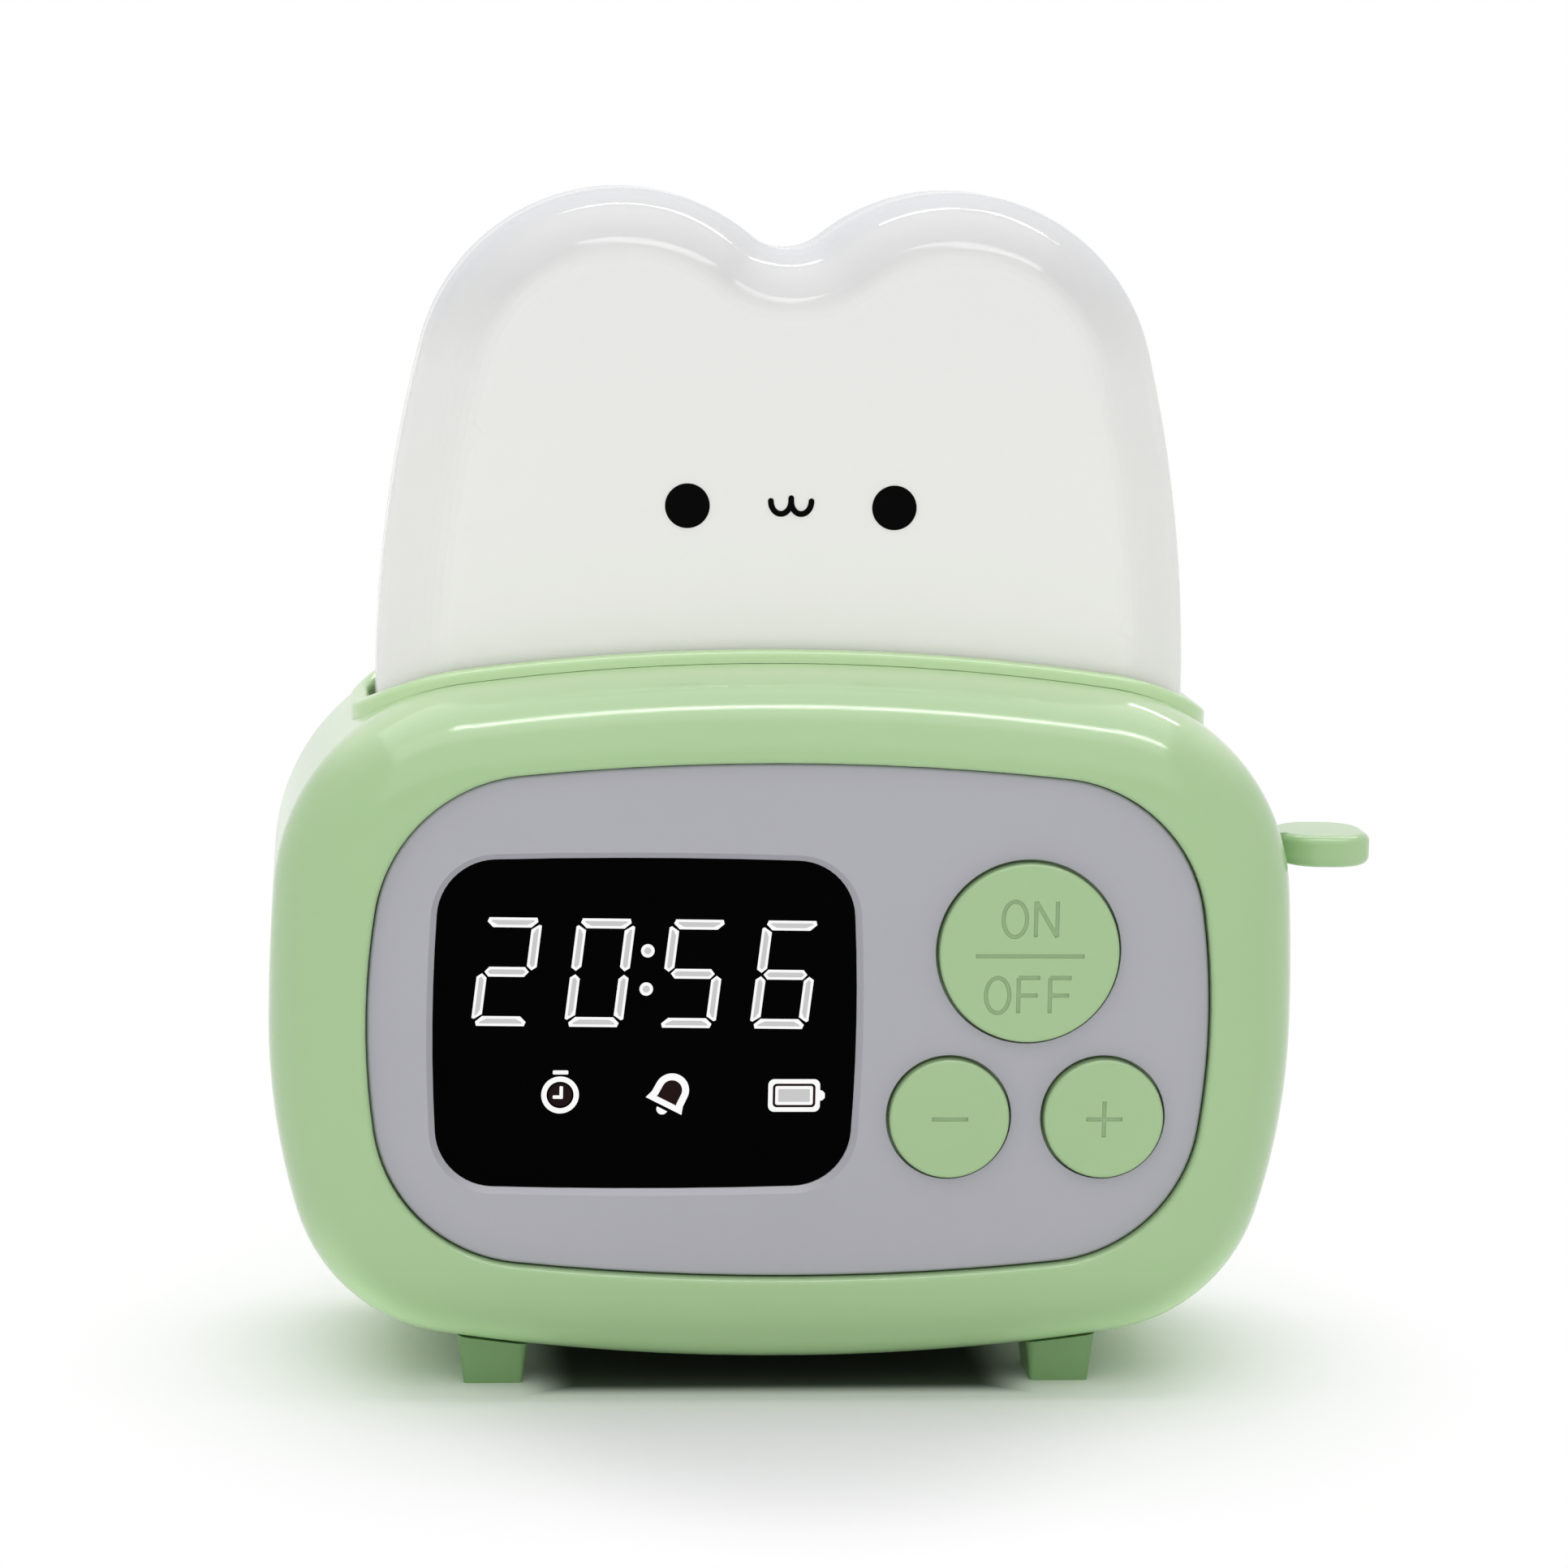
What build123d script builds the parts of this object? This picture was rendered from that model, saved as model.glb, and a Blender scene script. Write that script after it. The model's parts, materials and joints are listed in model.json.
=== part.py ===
from build123d import *
import os
from math import atan2, degrees, hypot, pi, sqrt

# A kids' alarm clock shaped like a little toaster: a rounded case with a display and three
# buttons, a translucent slice of bread that is the night light, and a lever on its right side.
# Millimetres. X is to the right, Y from front to back, Z up. The table is z = 0 and the middle
# of the case's depth is y = 0. The pieces are made about the case's own centre plane, x = 0,
# and moved sideways once, at the end, so that the origin is under the middle of the whole clock.

# ---- Case: a rounded box whose four sides bulge a little -----------------------------------
CASE_W = 101.6
CASE_H = 69.7
CASE_D = 45.0
CASE_LIFT = 2.6            # belly above the table
CASE_LOW_SHARE = 0.492     # part of the height that is below the widest level
CASE_SIDE_R = 205.0        # bulge of the sides above the widest level
CASE_LOW_SIDE_R = 67.0     # bulge of the sides below it
CASE_TOP_R = 228.0         # bulge of the top
CASE_BELLY_R = 222.0
CASE_CORNER_R = 21.5
CASE_LOW_CORNER_R = 17.7
FRONT_ROUND = 10.0         # rolled front edge
REAR_ROUND = 8.0
WALL = 2.0
CASE_LOW_H = CASE_H * CASE_LOW_SHARE
CASE_Z = CASE_LIFT + CASE_LOW_H
CASE_TOP_Z = CASE_LIFT + CASE_H
FRONT_Y = -CASE_D / 2
BACK_Y = CASE_D / 2
LAP_DEPTH = 1.6            # tongue of the rear shell inside the front shell
LAP_GAP = 0.05

# ---- Front panel, set into the case's front -------------------------------------------------
PANEL_RIM_SIDE = 9.55      # case's side to the panel
PANEL_RIM_TOP = 9.45       # case's top or belly to the panel, the mean of the two
PANEL_W = CASE_W - 2 * PANEL_RIM_SIDE
PANEL_H = CASE_H - 2 * PANEL_RIM_TOP
PANEL_SIDE_R = 72.0
PANEL_TOP_R = 255.0
PANEL_CORNER_R = 15.6
PANEL_RISE = 1.15          # panel's centre above the case's widest level
PANEL_T = 1.6
PANEL_GAP = 0.15
PANEL_EDGE = 0.3
RIM_PROUD = 1.2            # rolled rim ahead of the panel
RIM_EDGE = 0.5
RIM_FIND = 0.05            # how near the hole for the panel its edges are looked for
SEAT_W = 1.8               # ledge that the panel rests on
SEAT_T = 1.6
SEAT_RING = 1.6

# ---- Display --------------------------------------------------------------------------------
WINDOW_MARGIN = 6.35       # panel's left side to the window
WINDOW_RIM = 9.0           # panel's top or foot to the window, the mean of the two
BUTTON_FIELD = 34.75       # panel's width right of the window
WINDOW_W = PANEL_W - WINDOW_MARGIN - BUTTON_FIELD
WINDOW_H = PANEL_H - 2 * WINDOW_RIM
WINDOW_X = (WINDOW_MARGIN - BUTTON_FIELD) / 2
WINDOW_Z = -0.35
WINDOW_SIDE_R = 175.0
WINDOW_TOP_R = 500.0
WINDOW_CORNER_R = 5.8
WINDOW_BEVEL = 0.6
LENS_DEPTH = 0.8           # lens face below the panel's face
LENS_T = 1.2
LENS_LAP = 1.1             # lens beyond the opening, all round
LENS_GAP = 0.1
MODULE_INSET_X = 1.7
MODULE_INSET_Z = 3.4
MODULE_W = WINDOW_W - 2 * MODULE_INSET_X
MODULE_H = WINDOW_H - 2 * MODULE_INSET_Z
MODULE_GAP = 0.3           # display module behind the lens
MODULE_ROUND = 0.8

# ---- Buttons: places from the panel's centre -------------------------------------------------
START_STOP_R = 8.85
START_STOP_INSET = 18.05   # panel's right side to the button's centre, and so on
START_STOP_X = PANEL_W / 2 - START_STOP_INSET
START_STOP_Z = 7.0
SMALL_BUTTON_R = 5.9
SMALL_BUTTON_Z = -9.5
MINUTE_INSET = 25.55
SECOND_INSET = 10.3
BUTTON_PROUD = 1.1
BUTTON_GAP = 0.3
BUTTON_EDGE = 0.35
BUTTON_FLANGE = 1.0
BUTTON_FLANGE_T = 0.8
BUTTON_SKIN = 1.4
BUTTON_WALL = 1.2
BUTTON_POST_R = 2.6
BUTTON_TRAVEL = 0.5

# ---- Tact switches under the buttons ----------------------------------------------------------
TACT_SIZE = 6.0
TACT_H = 3.5
TACT_ROUND = 0.5
TACT_PIN_R = 1.75
TACT_PIN_GAP = 0.2
TACT_PIN_OUT = 0.8
TACT_PIN_IN = 0.15
TACT_BORE_FLOOR = 0.15

# ---- Main circuit board, on four bosses behind the panel -------------------------------------
BOARD_INSET = 2.4          # board smaller than the panel, to pass its seat
BOARD_T = 1.4
BOSS_R = 2.1
BOSS_CLEAR = 3.35          # window's edge to the bosses above and below it
BOSS_INSET_X = 8.3
BOSS_INSET_Z = 7.6
BOARD_SCREW_R = 0.9
BOARD_SCREW_HEAD_R = 1.6
BOARD_SCREW_HEAD_T = 0.8
BOARD_SCREW_L = 5.5
SCREW_GAP = 0.1
CHIP_W = 9.0
CHIP_H = 7.0
CHIP_T = 1.6
CHIP_AT = (4.0, -6.0)
CONNECTOR_W = 8.0
CONNECTOR_H = 5.0
CONNECTOR_T = 4.2
CONNECTOR_AT = (-20.0, -12.0)

# ---- Bread slice: the night light's diffuser ---------------------------------------------------
BREAD_MARGIN_X = 10.4      # case's side to the slice
BREAD_MARGIN_Y = 11.5      # case's front or back to the slice
BREAD_W = CASE_W - 2 * BREAD_MARGIN_X
BREAD_T = CASE_D - 2 * BREAD_MARGIN_Y
BREAD_WALL = 1.8
BREAD_STANDS = 45.8        # top of each lobe above the case
BREAD_TOP_Z = CASE_TOP_Z + BREAD_STANDS
BREAD_DIP = 5.85           # dip between the lobes
BREAD_LOBE_X = 16.4
BREAD_SINK = 3.6           # below this level under the case's top the sides are upright
BREAD_SIDE_Z = CASE_TOP_Z - BREAD_SINK
BREAD_SIDE_R = 139.0
BREAD_LOBE_R = 20.1        # inner half of a lobe
BREAD_ROUND = 7.5
BREAD_FLANGE = 1.0
BREAD_FLANGE_T = 1.6

# ---- Trim ring round the slot in the case's top ------------------------------------------------
TRIM_GAP = 0.6             # bread to trim
TRIM_SKIRT = 1.0
TRIM_LIP = 1.8
TRIM_H = 1.25
TRIM_EDGE = 0.6
TRIM_FIT = 0.1             # skirt to the case's slot

# ---- Lamp under the bread ------------------------------------------------------------------------
TRAY_DROP = 14.7           # tray's top face, which carries the bread's flange, under the case's top
TRAY_Z = CASE_TOP_Z - TRAY_DROP
TRAY_T = 2.0
LAMP_MARGIN_X = 8.5        # slice's side to the lamp's board
LAMP_MARGIN_Y = 4.5
LAMP_BOARD_W = BREAD_W - 2 * LAMP_MARGIN_X
LAMP_BOARD_D = BREAD_T - 2 * LAMP_MARGIN_Y
LAMP_BOARD_T = 1.2
LED_W = 3.5
LED_D = 2.8
LED_T = 1.9
LED_COUNT = 6
LED_PITCH = LAMP_BOARD_W / LED_COUNT
SHELF_LAP = 1.5            # the four tray shelves under the tray's ends
SHELF_Y = 6.6
SHELF_W = 4.0
SHELF_T = 2.4

# ---- Lever on the right side: it slides down and springs back ------------------------------------
LEVER_DROP = 19.9          # under the case's top
LEVER_Z = CASE_TOP_Z - LEVER_DROP
LEVER_T = 3.2
LEVER_REACH = 9.9          # beyond the case's side
LEVER_TIP = CASE_W / 2 + LEVER_REACH
PADDLE_OUT = 0.5           # root of the paddle beyond the case's side
LEVER_PADDLE_X = CASE_W / 2 + PADDLE_OUT
LEVER_PADDLE_W = 11.0
LEVER_PADDLE_ROUND = 4.0
LEVER_NECK_W = 5.0
LEVER_EDGE = 0.9
LEVER_TRAVEL = 7.5
LEVER_SLOT_GAP = 0.3
CARRIAGE_IN = 7.9          # inner face of the carriage from the case's side
CARRIAGE_X = CASE_W / 2 - CARRIAGE_IN
CARRIAGE_T = 4.2
CARRIAGE_W = 9.0
CARRIAGE_H = 8.4
CARRIAGE_RISE = 3.4        # carriage above the lever's centre
APRON_T = 0.9              # shield below the carriage, which covers the slot
APRON_H = 5.0
LUG_L = 5.6
LUG_W = 4.0
LUG_H = 3.0
RAIL_GAP = 0.3
RAIL_T = 1.2
RAIL_LIP = 1.4
SHELF_FRONT_Y = -3.6
MECH_DROP = 18.0           # mechanism shelf's top face under the lever
MECH_SHELF_Z = LEVER_Z - MECH_DROP
MECH_SHELF_T = 2.0
SPRING_R = 1.35            # to the wire's centre
SPRING_WIRE_R = 0.24
SPRING_TURNS = 6.5
PEG_R = 0.8
PEG_H = 4.0
SWITCH_BOARD_W = 8.0
SWITCH_BOARD_T = 1.2
SWITCH_GAP = 0.1           # lug above the switch's pin at the end of its travel

# ---- Power and sound ------------------------------------------------------------------------------
BATTERY_W = 46.0
BATTERY_H = 34.0
BATTERY_T = 8.0
BATTERY_X = -16.0
BATTERY_DROP = 3.4         # under the case's widest level
BATTERY_Z = CASE_Z - BATTERY_DROP
BATTERY_ROUND = 2.5
TAPE_T = 0.5
TAPE_INSET = 4.0
SPEAKER_R = 10.0
SPEAKER_T = 4.0
SPEAKER_X = 22.0
SPEAKER_RISE = 6.6         # above the case's widest level
SPEAKER_Z = CASE_Z + SPEAKER_RISE
SPEAKER_RING = 1.2
SPEAKER_RING_H = 3.0
SPEAKER_GAP = 0.15
SPEAKER_MAGNET_R = 5.0
SPEAKER_MAGNET_T = 1.5
SOUND_HOLE_R = 0.8
SOUND_PITCH = 3.2
SOUND_RINGS = 2
USB_INSET = 27.5           # case's side to the socket's middle
USB_RISE = 12.0            # belly to the socket's middle
USB_X = CASE_W / 2 - USB_INSET
USB_Z = CASE_LIFT + USB_RISE
USB_W = 8.94
USB_H = 3.26
USB_L = 7.35
USB_WALL = 0.3
USB_TONGUE_W = 6.2
USB_TONGUE_T = 0.7
USB_TONGUE_BACK = 1.0
USB_GAP = 0.25
CHARGE_BOARD_W = 16.0
CHARGE_BOARD_D = 17.0
CHARGE_BOARD_T = 1.0
CHARGE_RIB_T = 1.6
CHARGE_RIB_INSET = 1.5

# ---- Feet and case screws ----------------------------------------------------------------------------
FOOT_INSET_X = 22.4
FOOT_INSET_Y = 12.1
FOOT_X = CASE_W / 2 - FOOT_INSET_X
FOOT_Y = CASE_D / 2 - FOOT_INSET_Y
FOOT_W = 5.8               # at the table
FOOT_D = 7.4
FOOT_TAPER = 7.5
FOOT_EDGE = 0.4
FOOT_PEG_R = 1.4
FOOT_PEG_GAP = 0.05
FOOT_PEG_OUT = 1.0         # peg beyond the inside of the belly
LOW_BOSS_INSET = 15.0      # case's side to the two low screws
LOW_BOSS_RISE = 8.0        # above the belly
SIDE_BOSS_INSET = 5.8
SIDE_BOSS_DROP = 11.9      # the two side screws under the case's widest level
CASE_BOSS_R = 3.2
CASE_PILOT_R = 1.0
CASE_SCREW_R = 1.2
CASE_SCREW_L = 14.0
CASE_HEAD_R = 2.3
CASE_HEAD_T = 1.7
CASE_HEAD_GAP = 0.3
CASE_HEAD_SEAT = 2.4       # plastic between the screw's head and the parting line

# ---- Levels worked out from the sizes above -------------------------------------------------------------
INSIDE_BACK_Y = BACK_Y - WALL
PANEL_Z = CASE_Z + PANEL_RISE
PANEL_Y = FRONT_Y + RIM_PROUD
PANEL_BACK_Y = PANEL_Y + PANEL_T
SEAT_BACK_Y = PANEL_BACK_Y + SEAT_T
LENS_Y = PANEL_Y + LENS_DEPTH
LENS_BACK_Y = LENS_Y + LENS_T
BUTTON_BACK_Y = PANEL_BACK_Y + BUTTON_FLANGE_T
TACT_Y = BUTTON_BACK_Y + TACT_PIN_OUT
BOARD_Y = TACT_Y + TACT_H
BOARD_BACK_Y = BOARD_Y + BOARD_T
BREAD_BOTTOM_Z = TRAY_Z
SKIRT_Z = TRAY_Z + BREAD_FLANGE_T
CARRIAGE_TOP_Z = LEVER_Z + CARRIAGE_RISE
CARRIAGE_BOTTOM_Z = CARRIAGE_TOP_Z - CARRIAGE_H
RAIL_TOP_Z = TRAY_Z - TRAY_T
RAIL_LIP_X = CARRIAGE_X - RAIL_GAP - RAIL_T
SPRING_X = CARRIAGE_X + SPRING_R + SPRING_WIRE_R
SWITCH_X = RAIL_LIP_X - TACT_PIN_GAP - TACT_SIZE / 2
SWITCH_Z = MECH_SHELF_Z + SWITCH_BOARD_T
MECH_SHELF_X = SWITCH_X - SWITCH_BOARD_W / 2 - TACT_PIN_GAP
SHELF_X = BREAD_W / 2 + BREAD_FLANGE - SHELF_LAP
USB_BOARD_Z = USB_Z - USB_H / 2
CENTRE_X = -(LEVER_TIP - CASE_W / 2) / 2
FAR = 200.0                # past everything, for cuts

BUTTONS = {
    "start_stop": ((START_STOP_X, START_STOP_Z), START_STOP_R),
    "minute": ((PANEL_W / 2 - MINUTE_INSET, SMALL_BUTTON_Z), SMALL_BUTTON_R),
    "second": ((PANEL_W / 2 - SECOND_INSET, SMALL_BUTTON_Z), SMALL_BUTTON_R),
}
BOARD_BOSSES = (
    (WINDOW_X, WINDOW_Z + WINDOW_H / 2 + BOSS_CLEAR),
    (WINDOW_X, WINDOW_Z - WINDOW_H / 2 - BOSS_CLEAR),
    (PANEL_W / 2 - BOSS_INSET_X, START_STOP_Z + START_STOP_R),
    (START_STOP_X, -PANEL_H / 2 + BOSS_INSET_Z),
)
CASE_BOSSES = (
    (CASE_W / 2 - LOW_BOSS_INSET, CASE_LIFT + LOW_BOSS_RISE),
    (CASE_W / 2 - SIDE_BOSS_INSET, CASE_Z - SIDE_BOSS_DROP),
)


# ---- Outlines and simple forms --------------------------------------------------------------------
def arc(centre_x, centre_y, radius, start, end):
    """One arc, its angles in radians."""
    return CenterArc((centre_x, centre_y), radius, degrees(start), degrees(end - start))


def bulged_half(half_w, half_h, side_r, top_r, corner_r):
    """Upper half of a bulging outline: arcs from its right to its left, each tangent to the next."""
    side_c = half_w - side_r
    top_c = half_h - top_r
    apart = hypot(side_c, top_c)
    to_side = side_r - corner_r
    to_top = top_r - corner_r
    along = (to_side**2 - to_top**2 + apart**2) / (2 * apart)
    across = sqrt(to_side**2 - along**2)
    corner_x = side_c + (-side_c * along - top_c * across) / apart
    corner_y = (top_c * along - side_c * across) / apart
    low = atan2(corner_y, corner_x - side_c)
    high = atan2(corner_y - top_c, corner_x)
    return [
        arc(side_c, 0, side_r, 0, low),
        arc(corner_x, corner_y, corner_r, low, high),
        arc(0, top_c, top_r, high, pi - high),
        arc(-corner_x, corner_y, corner_r, pi - high, pi - low),
        arc(-side_c, 0, side_r, pi - low, pi),
    ]


def bulged_outline(upper, lower):
    """A face between an upper half and a lower half, which meet upright at the widest level."""
    below = [mirror(edge, about=Plane.XZ) for edge in bulged_half(*lower)]
    return make_face(bulged_half(*upper) + below)


def case_outline(grow=0.0):
    """The case seen from the front, about its widest level, grown or shrunk all round."""
    half_w = CASE_W / 2 + grow
    upper = (
        half_w,
        CASE_H - CASE_LOW_H + grow,
        CASE_SIDE_R + grow,
        CASE_TOP_R + grow,
        CASE_CORNER_R + grow,
    )
    lower = (
        half_w,
        CASE_LOW_H + grow,
        CASE_LOW_SIDE_R + grow,
        CASE_BELLY_R + grow,
        CASE_LOW_CORNER_R + grow,
    )
    return bulged_outline(upper, lower)


def panel_outline(grow=0.0):
    """The front panel's outline, grown or shrunk all round."""
    half = (
        PANEL_W / 2 + grow,
        PANEL_H / 2 + grow,
        PANEL_SIDE_R + grow,
        PANEL_TOP_R + grow,
        PANEL_CORNER_R + grow,
    )
    return bulged_outline(half, half)


def window_outline(grow=0.0):
    """The display window's outline on the panel, grown or shrunk all round."""
    half = (
        WINDOW_W / 2 + grow,
        WINDOW_H / 2 + grow,
        WINDOW_SIDE_R + grow,
        WINDOW_TOP_R + grow,
        WINDOW_CORNER_R + grow,
    )
    return Pos(WINDOW_X, WINDOW_Z) * bulged_outline(half, half)


def bread_outline(bottom_z, inset=0.0):
    """A slice of bread: upright foot, bulging sides, two lobes and the dip between them."""
    half_w = BREAD_W / 2 - inset
    side_r = BREAD_SIDE_R - inset
    top_z = BREAD_TOP_Z - inset
    side_c = half_w - side_r
    reach = BREAD_LOBE_X - side_c
    rise = top_z - BREAD_SIDE_Z
    outer_r = (side_r**2 - reach**2 - rise**2) / (2 * (side_r - rise))
    inner_r = BREAD_LOBE_R - inset
    dip_r = (BREAD_LOBE_X**2 + BREAD_DIP**2) / (2 * BREAD_DIP) - inner_r
    dip_c = top_z - BREAD_DIP + dip_r
    side_end = atan2(top_z - outer_r - BREAD_SIDE_Z, reach)
    dip_end = atan2(dip_c - (top_z - inner_r), BREAD_LOBE_X)
    arcs = [
        arc(side_c, BREAD_SIDE_Z, side_r, 0, side_end),
        arc(BREAD_LOBE_X, top_z - outer_r, outer_r, side_end, pi / 2),
        arc(BREAD_LOBE_X, top_z - inner_r, inner_r, pi / 2, pi - dip_end),
        arc(0, dip_c, dip_r, -dip_end, dip_end - pi),
        arc(-BREAD_LOBE_X, top_z - inner_r, inner_r, dip_end, pi / 2),
        arc(-BREAD_LOBE_X, top_z - outer_r, outer_r, pi / 2, pi - side_end),
        arc(-side_c, BREAD_SIDE_Z, side_r, pi - side_end, pi),
    ]
    foot = Polyline(
        (-half_w, BREAD_SIDE_Z), (-half_w, bottom_z), (half_w, bottom_z), (half_w, BREAD_SIDE_Z)
    )
    return make_face(arcs + foot.edges())


def bread_plan(grow=0.0):
    """The bread cut across, seen from above: the slot, its trim and the tray take this shape."""
    return RectangleRounded(BREAD_W + 2 * grow, BREAD_T + 2 * grow, BREAD_ROUND + grow)


def slab(face, level_z, front_y, back_y):
    """A front-view outline made solid from front_y to back_y."""
    at_back = Plane(origin=(0, back_y, level_z), x_dir=(1, 0, 0), z_dir=(0, -1, 0))
    return extrude(at_back * face, amount=back_y - front_y)


def tower(face, bottom_z, top_z):
    """A plan made solid from bottom_z to top_z."""
    return extrude(Pos(0, 0, bottom_z) * face, amount=top_z - bottom_z)


def block(x_span, y_span, z_span):
    """A box between two values on each axis."""
    size = [high - low for low, high in (x_span, y_span, z_span)]
    middle = [(high + low) / 2 for low, high in (x_span, y_span, z_span)]
    return Pos(*middle) * Box(*size)


def rod(x, z, radius, front_y, back_y):
    """A round bar or hole along Y."""
    return slab(Pos(x, z) * Circle(radius), 0, front_y, back_y)


def front_edges(part):
    """The edges of the frontmost flat face."""
    return part.faces().filter_by(Axis.Y).sort_by(Axis.Y)[0].edges()


def back_edges(part):
    """The edges of the rearmost flat face."""
    return part.faces().filter_by(Axis.Y).sort_by(Axis.Y)[-1].edges()


def both_sides(part):
    """A piece and its mirror image across the case's centre plane."""
    return [part, mirror(part, about=Plane.YZ)]


def group(pieces):
    """Several like solids kept as one node."""
    return Compound([solid for piece in pieces for solid in piece.solids()])


# ---- Case -----------------------------------------------------------------------------------------------
def case_form(inset=0.0):
    """The case's outer form, or its hollow, with rolled front and rear edges."""
    form = slab(case_outline(-inset), CASE_Z, FRONT_Y + inset, BACK_Y - inset)
    form = fillet(front_edges(form), FRONT_ROUND - inset)
    return fillet(back_edges(form), REAR_ROUND - inset)


def case_wall():
    """The whole case as one hollow wall, before it is parted."""
    return case_form() - case_form(WALL)


def parting_ring(outer_inset, inner_inset, front_y):
    """A ring along the wall, ahead of the parting line."""
    outer = slab(case_outline(-outer_inset), CASE_Z, front_y, 0)
    return outer - slab(case_outline(-inner_inset), CASE_Z, front_y, 0)


def shared_openings():
    """Openings that both shells leave: the bread's slot, the lever's slot, the feet's holes."""
    slot = tower(bread_plan(TRIM_GAP + TRIM_SKIRT + TRIM_FIT), CASE_Z, FAR)
    half_neck = LEVER_NECK_W / 2 + LEVER_SLOT_GAP
    lever_low = LEVER_Z - LEVER_T / 2 - LEVER_TRAVEL - LEVER_SLOT_GAP
    lever_high = LEVER_Z + LEVER_T / 2 + LEVER_SLOT_GAP
    lever_slot = block((SPRING_X, FAR), (-half_neck, half_neck), (lever_low, lever_high))
    holes = []
    for foot_y in (-FOOT_Y, FOOT_Y):
        hole = Pos(FOOT_X, foot_y, 0) * Cylinder(FOOT_PEG_R + FOOT_PEG_GAP, CASE_Z / 2)
        holes += both_sides(hole)
    return [slot, lever_slot] + holes


def tray_shelf(front_y):
    """A shelf on each side wall that carries the lamp tray."""
    top_z = TRAY_Z - TRAY_T
    shelf = block((SHELF_X, CASE_W / 2), (front_y, front_y + SHELF_W), (top_z - SHELF_T, top_z))
    return both_sides(shelf & case_form(WALL / 2))


def lever_rail():
    """The rear rail that guides the lever's carriage: an upright web with a lip inside."""
    near_y = CARRIAGE_W / 2 + RAIL_GAP
    lip_span = (RAIL_LIP_X, RAIL_LIP_X + RAIL_T)
    z_span = (MECH_SHELF_Z, RAIL_TOP_Z)
    web = block((RAIL_LIP_X, CASE_W / 2), (near_y, near_y + RAIL_T), z_span)
    lip = block(lip_span, (near_y - RAIL_LIP, near_y + RAIL_T), z_span)
    return (web + lip) & case_form(WALL / 2)


def make_front_case():
    """Front shell: rolled rim, seat for the panel, screw bosses, front rail and shelves."""
    shell = case_wall() & block((-FAR, FAR), (-FAR, 0), (-FAR, FAR))
    seat_y = FRONT_Y + WALL - RIM_EDGE
    shell += slab(panel_outline(SEAT_RING), PANEL_Z, seat_y, SEAT_BACK_Y)
    shell -= slab(panel_outline(PANEL_GAP), PANEL_Z, FRONT_Y - WALL, PANEL_BACK_Y)
    shell = fillet(inner_rim_edges(shell), RIM_EDGE)
    shell -= slab(panel_outline(-SEAT_W), PANEL_Z, FRONT_Y, SEAT_BACK_Y + WALL)
    for x, z in CASE_BOSSES:
        boss = rod(x, z, CASE_BOSS_R, FRONT_Y, 0) & case_form(WALL / 2)
        shell += both_sides(boss)
        shell -= both_sides(rod(x, z, CASE_PILOT_R, -CASE_SCREW_L, 0))
    shell += tray_shelf(-SHELF_Y - SHELF_W)
    shell += mirror(lever_rail(), about=Plane.XZ)
    shell -= parting_ring(WALL / 2, WALL + LAP_GAP, -LAP_DEPTH - LAP_GAP)
    return shell - shared_openings()


def inner_rim_edges(shell):
    """The edges where the rolled rim turns down to the panel."""
    hole = slab(panel_outline(PANEL_GAP + RIM_FIND), PANEL_Z, FRONT_Y - WALL, PANEL_Y)
    ahead = hole - slab(panel_outline(PANEL_GAP - RIM_FIND), PANEL_Z, FRONT_Y - WALL, PANEL_Y)
    return [edge for edge in shell.edges() if ahead.is_inside(edge @ 0.5)]


def sound_holes():
    """Holes ahead of the speaker, on a hexagonal grid."""
    grid = HexLocations(SOUND_PITCH / 2, 2 * SOUND_RINGS + 1, 2 * SOUND_RINGS + 1)
    reach = SOUND_RINGS * SOUND_PITCH * 1.01
    spots = [spot for spot in grid if hypot(spot.position.X, spot.position.Y) < reach]
    return [
        rod(SPEAKER_X + spot.position.X, SPEAKER_Z + spot.position.Y, SOUND_HOLE_R, 0, FAR)
        for spot in spots
    ]


def speaker_ring():
    """The ring on the rear wall that holds the speaker."""
    inner_r = SPEAKER_R + SPEAKER_GAP
    front_y = INSIDE_BACK_Y - SPEAKER_RING_H
    ring = rod(SPEAKER_X, SPEAKER_Z, inner_r + SPEAKER_RING, front_y, INSIDE_BACK_Y)
    return ring - rod(SPEAKER_X, SPEAKER_Z, inner_r, front_y, INSIDE_BACK_Y)


def charge_ribs():
    """Two ribs on the belly that carry the charging board."""
    half_w = CHARGE_BOARD_W / 2 - CHARGE_RIB_INSET
    top_z = USB_BOARD_Z - CHARGE_BOARD_T
    y_span = (INSIDE_BACK_Y - CHARGE_BOARD_D, INSIDE_BACK_Y)
    ribs = []
    for x in (USB_X - half_w, USB_X + half_w - CHARGE_RIB_T):
        ribs.append(block((x, x + CHARGE_RIB_T), y_span, (0, top_z)) & case_form(WALL / 2))
    return ribs


def mechanism_shelf():
    """The shelf behind the right wall for the lever's spring and the lamp switch."""
    z_span = (MECH_SHELF_Z - MECH_SHELF_T, MECH_SHELF_Z)
    shelf = block((MECH_SHELF_X, CASE_W / 2), (SHELF_FRONT_Y, BACK_Y), z_span)
    inside = case_form(WALL / 2) - slab(case_outline(), CASE_Z, FRONT_Y, 0)
    front = shelf & slab(case_outline(-WALL - LAP_GAP), CASE_Z, SHELF_FRONT_Y, 0)
    peg = Pos(SPRING_X, 0, MECH_SHELF_Z + PEG_H / 2) * Cylinder(PEG_R, PEG_H)
    return (shelf & inside) + front + peg


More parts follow.
